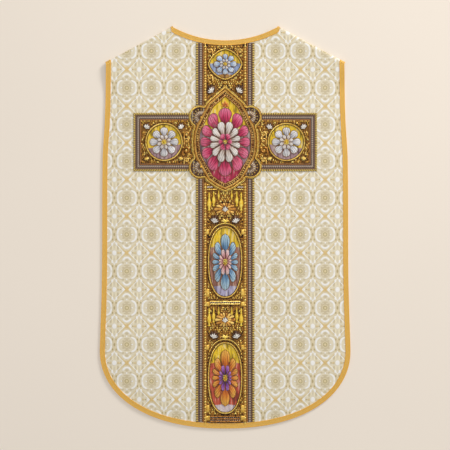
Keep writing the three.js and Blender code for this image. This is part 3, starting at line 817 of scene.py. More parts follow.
def closed_line(points, step):
    """A ring of evenly spaced points in metres, and how far along each lies."""
    line, along = resampled(list(points) + [points[0]], step)
    return line[:-1], along


def add_strand(heap, line, along, radius, lift, sway=0.0, pitch=0.007, phase=0.0, closed=True, tint=0.5, sides=6):
    """A round thread along a line in metres. With a sway it winds round the line, as one strand of a rope."""
    if closed:
        pitch = along[-1] / max(1, round(along[-1] / pitch))
    first, rows = len(heap.points), len(line)
    for place, way, far in zip(line, directions(line, closed), along):
        turn = 2 * math.pi * far / pitch + phase
        level = height(*place) + lift + radius + sway + sway * math.sin(turn)
        for k in range(sides):
            angle = 2 * math.pi * k / sides
            out, up = sway * math.cos(turn) + radius * math.cos(angle), radius * math.sin(angle)
            heap.points.append((place[0] + way[1] * out, place[1] - way[0] * out, level + up))
            heap.uv.append((far, k / sides))
    heap.faces += [tuple(first + k for k in face) for face in tube(rows, sides, closed)]
    heap.tints += [tint] * (rows * sides)


def add_rope(heap, line, along, lift=GAP, radius=0.00075, sway=0.00065, pitch=0.007, closed=True):
    for strand in (0, 1):
        add_strand(heap, line, along, radius, lift, sway, pitch, math.pi * strand, closed, 0.35 + 0.4 * strand)


def put_along(heap, shape, line, pitch, **rest):
    """Copies spaced along a ring in metres."""
    around, _ = closed_line(line, pitch)
    for x, y in around:
        heap.put(shape, x * 1000, y * 1000, **rest)


# %% [markdown]
# Gold thread is drawn wire wound on silk. One group gives its ridges from the thread's own map, and a shade that
# is random tone from noise and each copy's tint, with a painted highlight on every ridge. The colours are set in
# each material.

# %% Gold and silk finishes
WOUND, (thread, tint, turns), out = new_group("wound thread", ("Vector", "Tint", "Turns"), ("Ridge", "Shade"))
x, y = thread.split()
ridge = (y * 0.0012 + x).ridges(turns)
worn = object_place(WOUND).noise(130.0) * 0.7 + tint * 0.5
feed(out["Ridge"], ridge)
# The shade: random tone, plus a painted highlight where the wire's ridges rise.
feed(out["Shade"], worn.math("ADD", ridge * 0.12, use_clamp=True))


def tint_of(wire):
    return wire.node("Attribute", {}, "Fac", attribute_name="tint")


def gold(name, dark, middle, bright, roughness=0.36, metallic=0.55):
    material, inputs, _ = new_material(name, roughness, metallic)
    thread, _, _ = thread_map(material)
    wound = use_group(WOUND, thread, Tint=tint_of(thread), Turns=5200.0)
    # Dark, middle and bright follow the shade, so the ridges carry a painted highlight.
    colour = wound["Shade"].ramp(0.25, 0.6).mix(dark, middle)
    surface(inputs, wound["Shade"].ramp(0.5, 0.95).mix(colour, bright), wound["Ridge"], 0.0002, 0.6)
    return material


def silk(name, root, middle, tip):
    """Satin stitch: colours run from a petal's root to its tip, threads lie along it, and its furrows get painted
    shade.
    """
    material, inputs, _ = new_material(name, 0.38, 0.0, 0.3)
    thread, across, share = thread_map(material)
    stitch = use_group(STITCH, across.join(share * 0.03), Threads=5200.0, Length=9.0)
    streak = across.join(share * 0.0035).noise(420.0)
    ragged = (stitch["Shade"] + streak * 1.6 - 1.3) * 0.55 + share
    colour = ragged.ramp(0.45, 0.9).mix(ragged.ramp(0.05, 0.5).mix(root, middle), tip)
    # Painted shade: where the streaks sink, as the bump does, the colour is drawn towards a darkened root colour.
    furrow_shade = (tint_of(thread) * 0.08 + streak).ramp(0.56, 0.42)
    surface(inputs, (furrow_shade * 0.6).mix(colour, dimmed(root, 0.3)), streak * 2.0 + stitch["Height"], 0.0004, 0.7)
    return material


bright_gold = gold("bright_gold", rgb(138, 80, 22), rgb(240, 188, 76), rgb(255, 236, 140))
old_gold = gold("old_gold", rgb(92, 46, 16), rgb(208, 142, 58), rgb(255, 216, 120))
red_gold = gold("red_gold", rgb(60, 26, 14), rgb(176, 106, 52), rgb(255, 214, 128))
brown_gold = gold("brown_gold", rgb(40, 20, 12), rgb(92, 56, 26), rgb(168, 120, 58), 0.45, 0.3)
yellow_gold = gold("yellow_gold", rgb(176, 112, 16), rgb(246, 200, 48), rgb(255, 240, 120), 0.3, 0.3)
silver = gold("silver_grey", rgb(84, 76, 74), rgb(206, 200, 192), rgb(255, 252, 244), 0.34, 0.2)

# %% [markdown]
# The outlines of the medallion and of the oval frames are worked out again from their sizes, for the cords
# that follow them and to keep the scrolls off them.

# %% Outlines
MOTIFS = [
    dict(name="upper", x=0, y=209, across=96, along=88, power=1.6, petals=8, flower=(62, 56)),
    dict(name="arm_left", x=-164, y=0, across=104, along=106, power=2.0, petals=8, flower=(78, 80)),
    dict(name="arm_right", x=164, y=0, across=104, along=106, power=2.0, petals=8, flower=(78, 80)),
    dict(name="middle", x=0, y=-322, across=96, along=196, power=2.3, petals=12, flower=(70, 152)),
    dict(name="lower", x=0, y=-633, across=96, along=196, power=2.3, petals=12, flower=(70, 152)),
]
BOSSES = [
    dict(name="boss_under_medallion", y=-180, across=62, along=34),
    dict(name="boss_between_frames", y=-477, across=58, along=40),
]
CROSS = CROSS_Y * 1000
LOBE_CENTRE, LOBE_RADIUS = 68, 31
GABLE = [(92, 0), (90, 26), (84, 46), (51, 108), (24, 132), (0, 152)]  # half the body, from its side up
FOOT = [(92, 0), (90, -28), (84, -48), (51, -106), (26, -124), (0, -136)]  # and from its side down


def oval_line(motif, shrink=0.0):
    a, b = motif["across"] / 2 - shrink, motif["along"] / 2 - shrink
    ring = []
    for angle in np.linspace(0, 2 * math.pi, 181)[:-1]:
        c, s = math.cos(angle), math.sin(angle)
        ring.append(
            (
                (motif["x"] + a * math.copysign(abs(c) ** (2 / motif["power"]), c)) / 1000,
                (CROSS + motif["y"] + b * math.copysign(abs(s) ** (2 / motif["power"]), s)) / 1000,
            )
        )
    return ring


def lobe_crossing(inside, outside, centre):
    """The angle at which a straight line leaves the lobe's circle."""
    step, near = outside - inside, inside - centre
    bend = near @ step
    share = (math.sqrt(bend**2 - step @ step * (near @ near - LOBE_RADIUS**2)) - bend) / (step @ step)
    x, y = near + step * share
    return math.atan2(y, x)


def medallion_quarter(table, direction):
    """From the side to a tip, with the lobe's arc where that stands outside the body."""
    centre = np.array([LOBE_CENTRE, direction * LOBE_CENTRE], float)
    line = [np.array(p, float) for p in table]
    covered = [math.dist(p, centre) > LOBE_RADIUS for p in line].index(False)
    ends = [lobe_crossing(line[covered], line[k], centre) for k in (covered - 1, covered + 1)]
    arc = [centre + LOBE_RADIUS * np.array([math.cos(t), math.sin(t)]) for t in np.linspace(*ends, 49)]
    return line[:covered] + arc + line[covered + 1 :]


def medallion_outline(with_lobes=True):
    """Anticlockwise round the medallion from its right side, in metres."""
    if with_lobes:
        upper, lower = medallion_quarter(GABLE, 1), medallion_quarter(FOOT, -1)
    else:
        upper, lower = [[np.array(p, float) for p in table] for table in (GABLE, FOOT)]
    flip = np.array([-1.0, 1.0])
    line = upper + [p * flip for p in upper[-2::-1]] + [p * flip for p in lower[1:]] + lower[-2:0:-1]
    return [tuple((p + [0, CROSS]) / 1000) for p in line]


def inset(line, distance):
    """A ring moved inward, without the loops that this leaves at its tips, and how far along each point lies."""
    shifted, tangent = moved(line, distance, True), directions(line, True)
    free = np.linalg.norm(shifted[:, None] - line[None], axis=2).min(axis=1) > distance * 0.998
    kept = []
    for place, way in zip(shifted[free], tangent[free]):
        if not kept or (place - kept[-1]) @ way > 0:  # never back on itself at a corner
            kept.append(place)
    while (kept[0] - kept[-1]) @ tangent[free][0] <= 0:
        kept.pop()
    return closed_line(kept, 0.0009)


def in_oval(x, y, motif, grow):
    a, b = motif["across"] / 2 + grow, motif["along"] / 2 + grow
    power = motif.get("power", 2.0)
    return (abs(x - motif.get("x", 0)) / a) ** power + (abs(y - CROSS - motif["y"]) / b) ** power < 1


def in_medallion(x, y, grow):
    x, y = abs(x), y - CROSS
    table = GABLE if y > 0 else FOOT
    half = np.interp(abs(y), [abs(p[1]) for p in table], [p[0] for p in table])
    tip = abs(table[-1][1])
    if abs(y) < tip + grow and x < half + grow * 1.3:
        return True
    return math.hypot(x - LOBE_CENTRE, abs(y) - LOBE_CENTRE) < LOBE_RADIUS + grow


INNER = (BAND_HALF - BRAID) * 1000  # from a band's middle to its braid
BORDER = 48.5  # and to the beaded border inside that
taken = []  # discs that later shapes keep clear of


def taken_at(x, y, grow):
    if in_medallion(x, y, grow) or any(in_oval(x, y, m, grow) for m in MOTIFS + BOSSES):
        return True
    return any(math.hypot(x - ax, y - ay) < r + grow for ax, ay, r in taken)


def on_band(x, y, margin, half=INNER):
    """Whether a place lies on an orphrey ground, clear of its braids or border by a margin."""
    if abs(x) < half - margin:
        return hem_y(x / 1000) * 1000 + 13 + margin < y < neck_y(x / 1000) * 1000 - 13.5 - margin
    return abs(x) < ARM_HALF * 1000 - BRAID * 1000 - margin and abs(y - CROSS) < INNER - margin


medallion_line, medallion_along = closed_line(medallion_outline(), 0.0009)
body_line, _ = closed_line(medallion_outline(False), 0.0009)
print("medallion rim:", round(medallion_along[-1], 3), "m")

# %% [markdown]
# The medallion has two cords: a rope with a row of gold beads round its outline, and another round the field
# within. Each frame is a twisted rope between finer cords. Each stands for the plain raised ring of its solid.

# %% Rim and frames
edging = Heap()  # the dark outline threads of frames, petals and leaves
rim = Heap()
put_along(rim, BEAD, inset(medallion_line, 0.0016)[0], 0.0038, size=0.95)
add_rope(rim, *inset(medallion_line, 0.0045), radius=0.0010, sway=0.0008)
rim.piece("medallion_rim", "cord", bright_gold, "medallion_cord")
rim = Heap()
add_strand(rim, *inset(body_line, 0.0081), 0.0008, GAP, tint=0.2)
add_rope(rim, *inset(body_line, 0.0103), radius=0.0008, sway=0.0007, pitch=0.006)
add_strand(rim, *inset(body_line, 0.0126), 0.0008, GAP, tint=0.8)
rim.piece("medallion_inner_rim", "cord", old_gold, "medallion_inner_cord")
border = Heap()
put_along(border, BEAD, inset(body_line, 0.0168)[0], 0.0064, size=1.5)
add_rope(border, *inset(body_line, 0.0208), radius=0.0009, sway=0.0007, pitch=0.008)
border.piece("medallion_border", "cord", red_gold)
for distance in (0.0142, 0.0190, 0.0228):
    add_strand(edging, *inset(body_line, distance), 0.0007, GAP, tint=0.15)

for motif in MOTIFS:
    line, along = closed_line(oval_line(motif), 0.0009)
    ring = Heap()
    add_rope(ring, *inset(line, 0.0035), radius=0.0011, sway=0.0009, pitch=0.0085)
    for distance in (0.0008, 0.0062):
        add_strand(edging, *inset(line, distance), 0.0007, GAP, tint=0.25)
    ring.piece(motif["name"] + "_rope", "cord", bright_gold, motif["name"] + "_frame")

# %% [markdown]
# Inside each frame lies a field of satin: yellow gold above and the field's own colour below, in upright
# stitches, with painted shade and painted highlights along its folds. It is a thin plate on the ground,
# because embroidery has almost no thickness of its own.

# %% Satin fields
# Painted shade and painted highlight for the folds of the satin fields.
PAINTED_FOLD_SHADE, PAINTED_FOLD_HIGHLIGHT = rgb(50, 24, 16), rgb(255, 250, 226)


def field_material(name, centre, colour, *bands):
    """Colours from the top down, each band with the height in millimetres above the centre where it starts."""
    material, inputs, place = new_material(name, 0.36, 0.05, 0.15)
    x, y = place.split()
    stitch = use_group(STITCH, place, Threads=3800.0, Length=12.0)
    stripe = x.join(y * 0.14).noise(150.0)
    edge = abs(x) * 120.0 + (y * 1000.0 - centre)
    for starts, band_colour in bands:
        colour = edge.ramp(starts + 1.0, starts - 1.0).mix(colour, band_colour)
    # Folds: painted shade where the stripes sink and a painted highlight where they rise, as the bump does, with a
    # little random stitch tone.
    shade = (stitch["Shade"] - 0.5) * 0.3 + stripe
    colour = (shade.ramp(0.5, 0.36) * 0.68).mix(colour, PAINTED_FOLD_SHADE)
    colour = (shade.ramp(0.54, 0.68) * 0.42).mix(colour, PAINTED_FOLD_HIGHLIGHT)
    surface(inputs, colour, stripe * 2.0 + stitch["Height"], 0.0005, 0.7)
    return material


def field_piece(name, outline, centre, material):
    """A draped plate inside an outline in metres, by rings about its centre in metres."""
    rings = [(share, 0.00022) for share in (0.04, 0.3, 0.5, 0.7, 0.85, 1.0)] + [(1.0, 0.00005)]
    points = []
    for share, lift in rings:
        for x, y in outline:
            at_x, at_y = centre[0] + (x - centre[0]) * share, centre[1] + (y - centre[1]) * share
            points.append((at_x, at_y, height(at_x, at_y) + lift))
    return finish_piece(add_mesh(name, points, tube(len(rings), len(outline))), "goldwork", material)


YELLOW = rgb(255, 214, 46)
FIELDS = {
    "upper": [(6, rgb(158, 176, 216)), (-26, rgb(186, 134, 62))],
    "arm_left": [(8, rgb(176, 142, 150)), (-34, rgb(150, 84, 120))],
    "arm_right": [(8, rgb(176, 142, 150)), (-34, rgb(150, 84, 120))],
    "middle": [(44, rgb(172, 118, 100)), (-62, rgb(186, 180, 214))],
    "lower": [(44, rgb(214, 92, 66)), (-70, rgb(224, 206, 212))],
}
for motif in MOTIFS:
    name, middle = motif["name"], CROSS + motif["y"]
    material = field_material("field_" + name, middle, YELLOW, *FIELDS[name])
    field_piece(name + "_field", oval_line(motif, 6.6)[::2], (motif["x"] / 1000, middle / 1000), material)


def flat_plate(name, outline, low, high, material):
    """A thin plate on the level middle of the medallion, in metres."""
    level = height(0.0, CROSS_Y)
    points = [(x, y, level + z) for z in (high, low) for x, y in outline]
    return finish_piece(add_mesh(name, points, tube(2, len(outline))), "goldwork", material)


medallion_bands = [(40, rgb(166, 134, 146)), (-64, rgb(186, 36, 76))]
medallion_satin = field_material("field_medallion", CROSS, YELLOW, *medallion_bands)
flat_plate("medallion_field", inset(body_line, 0.0222)[0][::3], 0.00012, 0.00024, medallion_satin)
lobe_satin = field_material("field_lobes", CROSS, rgb(88, 54, 34))
LOBE_FIELD, LOBE_CLEAR = 24.8, 7.4  # its radius, and how far it comes inside the body's line
for sign_x, side_word in ((-1, "left"), (1, "right")):
    for direction, word in ((1, "upper"), (-1, "lower")):
        low, high = np.array((GABLE if direction > 0 else FOOT)[2:4], float)
        out = np.array([high[1] - low[1], low[0] - high[0]]) * direction
        turns = np.linspace(0, 2 * math.pi, 73)[:-1]
        ring = np.c_[np.cos(turns), np.sin(turns)] * LOBE_FIELD + [LOBE_CENTRE, direction * LOBE_CENTRE]
        beyond = (ring - low) @ (out / np.linalg.norm(out)) + LOBE_CLEAR
        start = np.argmax((beyond > 0) & (np.roll(beyond, 1) <= 0))
        kept = np.roll(ring, -start, axis=0)[np.roll(beyond, -start) > 0]
        outline = ((kept * [sign_x, 1])[::sign_x] + [0, CROSS]) / 1000
        flat_plate(f"lobe_{word}_{side_word}", outline, 0.00002, 0.0001, lobe_satin)

# %% [markdown]
# A flower is padded petals round a knot of gold. Each petal is a curved grid between two directions from the
# flower's middle, so an oval flower gets long petals at its ends and short ones at its sides, as the solid has.

# %% Flowers
PETAL_LEAN, PETAL_FULL = 0.9, 0.62  # a petal's share of its place in the ring, and where it is widest


def flower_petals(heap, motif, size, petals, start, reach, rises, foot=0.0, turned=False, outlines=None):
    """One ring of petals. rises gives the height in millimetres at shares of the oval's radius."""
    a, b = size[0] / 2, size[1] / 2
    shares, heights = [r[0] for r in rises], [r[1] for r in rises]
    columns, rows = 9, 10
    for k in range(petals):
        middle = 2 * math.pi * (k + (0.5 if turned else 0)) / petals
        first = len(heap.points)
        for j in range(rows):
            v = 1 - (1 - j / (rows - 1)) ** 1.25
            if v > PETAL_FULL:
                full = math.sqrt(max(0.0, 1 - ((v - PETAL_FULL) / (1 - PETAL_FULL)) ** 2))
            else:
                full = 0.72 + 0.28 * v / PETAL_FULL
            width = max(PETAL_LEAN * full, 0.03)
            for u in np.linspace(-1, 1, columns):
                angle = middle + u * width * math.pi / petals
                share = start + (reach - start) * v
                radius = share / math.hypot(math.cos(angle) / a, math.sin(angle) / b)
                x = (motif["x"] + radius * math.cos(angle)) / 1000
                y = (CROSS + motif["y"] + radius * math.sin(angle)) / 1000
                plump = (1 - u * u) ** 0.42 * (1 - 0.10 * math.exp(-((u / 0.16) ** 2)))
                plump *= math.sqrt(width / PETAL_LEAN) if v > PETAL_FULL else 1
                rise = foot + (np.interp(share, shares, heights) - foot) * plump
                heap.points.append((x, y, height(x, y) + GAP + rise / 1000))
                heap.uv.append((u * width * math.pi / petals * radius / 1000, v))
        # rows run outward and columns anticlockwise, so the grid's own order faces down
        heap.faces += [tuple(first + i for i in face[::-1]) for face in closed_grid(rows, columns)]
        heap.tints += [chance.random()] * (rows * columns)
        if outlines is not None:
            left = [j * columns for j in range(rows)]
            right = [j * columns + columns - 1 for j in range(rows)]
            root, end = list(range(columns)), [(rows - 1) * columns + i for i in range(columns)]
            loop = left + end[1:-1] + right[::-1] + root[-2:0:-1]
            edge = [heap.points[first + i][:2] for i in loop[::-1]]
            line, along = closed_line(edge, 0.0022)
            if np.linalg.det([line[1] - line[0], np.array(edge).mean(axis=0) - line[0]]) < 0:
                line = line[::-1]
            add_strand(outlines, line, along, 0.00065, GAP + foot / 1000, tint=0.5, sides=5)


def knot(heap, motif, radius, top, stretch=1.0):
    """A mound of gold knots, in millimetres."""
    golden = math.radians(137.5)
    count = round(radius * radius * 0.42)
    for k in range(count):
        far = radius * math.sqrt((k + 0.5) / count)
        level = top - 1.3 - (top * 0.25) * (far / radius) ** 2
        heap.put(
            BEAD,
            motif["x"] + far * math.cos(k * golden),
            CROSS + motif["y"] + far * stretch * math.sin(k * golden),
            size=0.95,
            lift=level / 1000,
        )


SINGLE = [(0.16, 2.6), (0.34, 2.7), (0.72, 3.3), (0.92, 2.4), (1.0, 1.0)]
SILKS = {
    "crimson": silk("silk_crimson", rgb(120, 10, 44), rgb(206, 36, 92), rgb(240, 120, 158)),
    "ivory": silk("silk_ivory", rgb(196, 168, 150), rgb(226, 214, 206), rgb(246, 242, 238)),
    "sky": silk("silk_sky", rgb(112, 138, 182), rgb(164, 190, 226), rgb(232, 240, 248)),
    "white": silk("silk_white", rgb(150, 146, 158), rgb(214, 212, 218), rgb(246, 244, 244)),
    "blue": silk("silk_blue", rgb(44, 78, 124), rgb(106, 152, 192), rgb(186, 216, 232)),
    "pink": silk("silk_pink", rgb(196, 110, 122), rgb(232, 172, 176), rgb(248, 222, 216)),
    "orange": silk("silk_orange", rgb(176, 66, 10), rgb(222, 122, 22), rgb(248, 184, 72)),
    "violet": silk("silk_violet", rgb(70, 24, 92), rgb(132, 58, 156), rgb(184, 124, 204)),
    "bronze": silk("silk_bronze", rgb(64, 38, 22), rgb(150, 106, 62), rgb(206, 170, 116)),
}

medallion = dict(x=0, y=0)
outer = Heap()
rises = [(0.5, 2.2), (0.66, 2.8), (0.86, 3.2), (1.0, 1.0)]
flower_petals(outer, medallion, (134, 184), 12, 0.5, 1.0, rises, outlines=edging)
outer.piece("rose_outer_petals", "crimson", SILKS["crimson"], "medallion_rose")
inner = Heap()
rises = [(0.2, 3.9), (0.42, 5.1), (0.56, 4.4), (0.62, 3.4)]
flower_petals(inner, medallion, (134, 184), 12, 0.2, 0.62, rises, foot=2.0, turned=True, outlines=edging)
inner.piece("rose_inner_petals", "white", SILKS["ivory"])
heart = Heap()
flower_petals(heart, medallion, (134, 184), 6, 0.06, 0.27, [(0.06, 5.4), (0.2, 6.0), (0.27, 4.8)], foot=3.6)
heart.piece("rose_heart", "crimson", SILKS["crimson"])
middle_knot = Heap()
knot(middle_knot, medallion, 5.0, 6.6, 1.3)
middle_knot.piece("rose_knot", "cord", yellow_gold)

FLOWER_SILKS = {
    "upper": ("sky", "sky", "white", "white"),
    "arm_left": ("white", "white", "white", "ivory"),
    "arm_right": ("white", "white", "white", "ivory"),
    "middle": ("blue", "blue", "white", "pink"),
    "lower": ("orange", "orange", "white", "violet"),
}
for motif in MOTIFS:
    name = motif["name"]
    slot, outer_silk, inner_slot, inner_silk = FLOWER_SILKS[name]
    petals = Heap()
    flower_petals(petals, motif, motif["flower"], motif["petals"], 0.26, 1.0, SINGLE, outlines=edging)
    petals.piece(name + "_petals", slot, SILKS[outer_silk], name + "_flower")
    petals = Heap()
    rises = [(0.12, 3.7), (0.34, 4.1), (0.5, 3.0)]
    flower_petals(petals, motif, motif["flower"], motif["petals"], 0.12, 0.5, rises, 1.6, True, outlines=edging)
    petals.piece(name + "_inner_petals", inner_slot, SILKS[inner_silk])
    centre = Heap()
    knot(centre, motif, motif["flower"][0] * 0.09, 5.0, min(motif["flower"][1] / motif["flower"][0], 1.5))
    centre.piece(name + "_knot", "cord", yellow_gold)

SPRIG_LEAF = leaf(15, 3.6, 2.4, 7)
for name, up, slot, silk_name in (("upper", 0, "orange", "orange"), ("lower", 180, "crimson", "crimson")):
    sprig = Heap()
    foot_y = CROSS + (96 if up == 0 else -95)
    for turn in (-84, -42, 0, 42, 84):
        sprig.put(SPRIG_LEAF, 0, foot_y, up + turn, size=1.1 - abs(turn) / 260, tint=0.5)
    sprig.put(dome(3.2, 3.2, 10), 0, foot_y, tint=0.5)
    sprig.piece(f"sprig_{name}", slot, SILKS[silk_name])

# %% [markdown]
# The two bosses are padded gold with a silver palmette. The fans in the medallion's lobes are silk leaves in
# bronze, with silver rays between them.

# %% Bosses and fans
silvers = Heap()
for boss in BOSSES:
    petals = Heap()
    place, foot_y = dict(boss, x=0), CROSS + boss["y"] - 5
    rises = [(0.1, 2.2), (0.6, 2.9), (1.0, 1.1)]
    flower_petals(petals, place, (boss["across"], boss["along"]), 14, 0.3, 1.0, rises, outlines=edging)
    size = (boss["across"] * 0.62, boss["along"] * 0.62)
    flower_petals(petals, place, size, 10, 0.2, 1.0, [(0.1, 3.2), (1.0, 2.2)], 1.2)
    petals.piece(boss["name"] + "_gold", "cord", old_gold, boss["name"])
    for lean in (-60, -30, 0, 30, 60):
        size = 1.7 - abs(lean) / 110
        edging.put(SLIM_LEAF, 0, foot_y, lean, size=size * 1.12, wide=1.35, tint=0.1, lift=0.0026)
        silvers.put(SLIM_LEAF, 0, foot_y, lean, size=size, tint=0.6, lift=0.0034)
    silvers.put(BEAD, 0, foot_y, size=1.6, lift=0.0036)

fans = {"bronze": Heap(), "silver": Heap(), "gold": Heap()}
FAN_LEAF = leaf(20.5, 2.9, 2.4, 7)
FAN_RAY = leaf(17.0, 1.5, 1.9, 6)
FAN_TURN, FAN_REACH = 21, 21.5  # degrees between the leaves, and how far out their beads are
for direction in (1, -1):
    outward = -62 if direction > 0 else -118  # from straight up the band to straight out of the lobe
    foot_x, foot_y = 65.0, CROSS + direction * 66.5
    for step in range(-4, 5):
        turn, size = outward + step * FAN_TURN, 1.0 - 0.03 * abs(step)
        c, s = math.cos(math.radians(turn)), math.sin(math.radians(turn))
        fans["bronze"].pair(FAN_LEAF, foot_x, foot_y, turn, size=size, tint=0.2)
        fans["gold"].pair(BEAD, foot_x - FAN_REACH * s, foot_y + FAN_REACH * c, size=0.9)
    for step in range(-4, 4):
        fans["silver"].pair(FAN_RAY, foot_x, foot_y, outward + (step + 0.5) * FAN_TURN, tint=0.95)
    fans["gold"].pair(dome(3.6, 3.0, 10), foot_x, foot_y)
fans["bronze"].piece("lobe_fans", "goldwork", SILKS["bronze"])
fans["silver"].piece("lobe_rays", "goldwork", silver)
fans["gold"].piece("lobe_beads", "goldwork", bright_gold)

# %% [markdown]
# Between the frames the bands are covered with gold scrolls in mirrored pairs. First come the few large
# motifs, one by one: spindles, palmettes and ledges. Then scrolls fill every whole cell that is free, and small
# leaves and beads fill what is left.

# %% Scrolls, spindles and ledges
scrolls, brights, yellows = Heap(), Heap(), Heap()
for low, high in ((-526.0, CROSS - 104.0), (CROSS + 98.0, 486.0)):
    for y in np.arange(low, high, 14.4):
        if on_band(53.6, y + 6, 1.5) and not any(in_medallion(53.6, y + s, 2.0) for s in (0, 6, 12)):
            brights.pair(BEAD, 53.6, y, size=1.9, tint=0.7)
            scrolls.pair(LOZENGE, 53.6, y + 2.6, tint=0.8)
            for x in (51.6, 55.6):
                scrolls.pair(BEAD, x, y + 7.2, size=0.8, tint=0.4)
    ys = np.arange(low, high, 1.2)
    ys = np.array([y for y in ys if on_band(50.5, y, 1.0) and not in_medallion(50.5, y, 2.0)])
    for x in (57.2, 49.9, -49.9, -57.2):
        line = np.c_[np.full(len(ys), x / 1000), ys / 1000]
        add_strand(scrolls, line, ys / 1000 - low / 1000, 0.0007, GAP, closed=False, tint=0.3, sides=5)


VOLUTE = cord(curl, np.linspace(1.7, 1.0, len(curl)))
VOLUTE_EDGE = cord(curl, np.linspace(2.9, 1.9, len(curl)), flat=0.3)


def palmette(heap, x, y, turn=0.0, size=1.0):
    """Five leaves over two small volutes, all on dark edges, on both sides of the garment's middle."""
    tint = chance.random()
    for side in (1, -1):
        for mirror in (1, -1):
            edging.put(VOLUTE_EDGE, side * x, y, side * turn, size=size * 0.36, mirror=mirror, tint=0.1)
            heap.put(VOLUTE, side * x, y, side * turn, size=size * 0.36, mirror=mirror, tint=tint, lift=0.0008)
        for lean in (-64, -32, 0, 32, 64):
            share = size * (1.25 - abs(lean) / 190)
            edging.put(SLIM_LEAF, side * x, y, side * turn + lean, size=share * 1.12, wide=1.35, tint=0.1)
            heap.put(SLIM_LEAF, side * x, y, side * turn + lean, size=share, tint=0.6, lift=0.0009)
    heap.pair(BEAD, x, y, size=size, lift=0.0012)


def take(x, y, radius):
    """Keeps later shapes off a disc and its mirror image."""
    taken.extend(((x, y, radius), (-x, y, radius)))


for x, y, size in (
    (43.0, 44, 1.15), (31.0, 56, 0.95), (17.5, 74, 0.6), (43.0, -266, 1.15), (31.0, -256, 0.95), (17.5, -240, 0.6),
):
    yellows.pair(SPINDLE, x, y, size=size, wide=1.5, tint=0.45)
    for share in (0.1, 0.35, 0.6, 0.9):
        take(x, y + 44 * size * share, 5.0)

for heap, x, y, turn, size in (
    (silvers, 29.5, 14, 14, 1.9), (silvers, 31.5, -296, 14, 1.9), (silvers, 35.0, 364, -40, 2.0),
    (silvers, 117.0, 266, -24, 1.45), (silvers, 212.0, 266, 24, 1.45), (brights, 212.0, 188, 156, 1.2),
    (brights, 118.0, 188, 204, 1.2),
):
    palmette(heap, x, y, turn, size)
    take(x - 3 * math.sin(math.radians(turn)), y + 3 * math.cos(math.radians(turn)), 7.5 * size)

# %% [markdown]
# Small square cushions of bright gold stand at the sides, where the frames' feet and shoulders are. Each is
# a plain block whose top is drawn in and rounded, as padding under thread is.

# %% Cushions
def cushion(wide, long, rise, steps=7):
    """A padded rectangle about the origin, in millimetres."""
    points, uv = [], []
    marks = np.linspace(-1, 1, steps)
    for v in marks:
        for u in marks:
            points.append((u * wide / 2, v * long / 2, 0.3 + (rise - 0.3) * ((1 - u**4) * (1 - v**4)) ** 0.4))
            uv.append((u * wide / 2000, v / 2 + 0.5))
    edge = list(range(steps)) + [j * steps + steps - 1 for j in range(1, steps)]
    edge += [(steps - 1) * steps + k for k in range(steps - 2, -1, -1)]
    edge += [j * steps for j in range(steps - 2, 0, -1)]
    under = [steps * steps + k for k in range(len(edge))]
    points += [(points[k][0], points[k][1], 0.0) for k in edge]
    uv += [uv[k] for k in edge]
    faces = grid_faces(steps, steps) + [tuple(under[::-1])]
    faces += [(under[k - 1], under[k], edge[k], edge[k - 1]) for k in range(len(edge))]
    return dict(points=np.array(points) / 1000, faces=faces, uv=uv)


for y, wide, long in ((-12, 9, 15), (-176, 10, 22), (-206, 12, 13), (-322, 9, 15), (-487, 10, 20), (-512, 12, 13)):
    brights.pair(cushion(wide, long, 2.6), 47.0, y, tint=0.35)
    for share in (-0.3, 0.3):
        take(47.0, y + share * long, wide / 2 + 0.5)

# %% [markdown]
# Ledges are straight cords laid across the band, some with beads between them.

# %% Ledges
ROD = cord([(x, 0) for x in (-40, -27, -13, 0, 13, 27, 40)], [1.6] * 7, 6)
LEDGES = [dict(y=-199, rows=2, heap=brights, tint=0.6), dict(y=-507.5, rows=3, heap=scrolls, tint=0.0)]
for ledge in LEDGES:
    for k in range(ledge["rows"]):
        y = ledge["y"] - 6.6 * k
        ledge["heap"].put(ROD, 0, y, tint=ledge["tint"])
        taken += [(x, y, 4.0) for x in range(-42, 43, 6)]
        if k < ledge["rows"] - 1:
            for x in np.arange(-38.5, 39, 5.5):
                silvers.put(BEAD, x, y - 3.4, size=1.15, tint=ledge["tint"] * 0.6)
for y, heap in ((114, brights), (108, silvers), (102, brights)):
    start = next(x for x in np.arange(20, 48, 0.5) if not in_medallion(x, y, 2.2))
    bar = cord([(x, 0) for x in np.linspace(start, 48.5, 4)], [1.2] * 4, 6)
    for mirror in (1, -1):
        heap.put(bar, 0, y, mirror=mirror, tint=0.45)
    for x in np.arange(start, 48, 5):
        take(x, y, 3.0)

# %% [markdown]
# Over each long frame a rope arch springs from the cushions, with a gold bud at its crown. It is the same line
# as the frame's, moved outward, so the two stay evenly apart.

# %% Arches
for motif in MOTIFS[3:]:
    line = [p for p in oval_line(motif, -5.4)[20:71]]
    spaced, along = resampled(line, 0.0009)
    add_rope(brights, spaced, along, radius=0.0010, sway=0.0008, pitch=0.008, closed=False)
    for distance in (-3.1, -7.7):
        spaced, along = resampled(oval_line(motif, distance)[20:71], 0.0009)
        add_strand(edging, spaced, along, 0.0006, GAP, closed=False, tint=0.2)
    taken += [(x * 1000, y * 1000, 2.6) for x, y in line[::3]]
    crown_y = CROSS + motif["y"] + motif["along"] / 2 + 8
    yellows.put(dome(4.4, 3.4, 10), 0, crown_y + 3, tint=0.5)
    for turn in (-70, -35, 35, 70):
        brights.put(SLIM_LEAF, 0, crown_y + 2, turn, size=1.5, tint=0.6)
    taken.append((0, crown_y + 5, 9.0))

# %% [markdown]
# Scrolls fill every whole cell that is free, large cells first and then small ones. Each cell has one curling
# scroll with a bead in its eye and leaves at its corners, and cells beside each other are mirrored.

# %% Scroll cells
def cell_free(x0, y0, mirrored, size):
    """Whether the corners and middle of a cell are free, in millimetres."""
    tests = [(2, 2), (14, 2), (2, 9), (8, 9), (14, 9), (2, 15.5), (14, 15.5), (8, 2), (8, 15.5)]
    for cx, cy in tests:
        x, y = x0 + (CELL_WIDE - cx if mirrored else cx) * size, y0 + cy * size
        if taken_at(x, y, 0.4) or not on_band(x, y, 0.4):
            return False
    return True


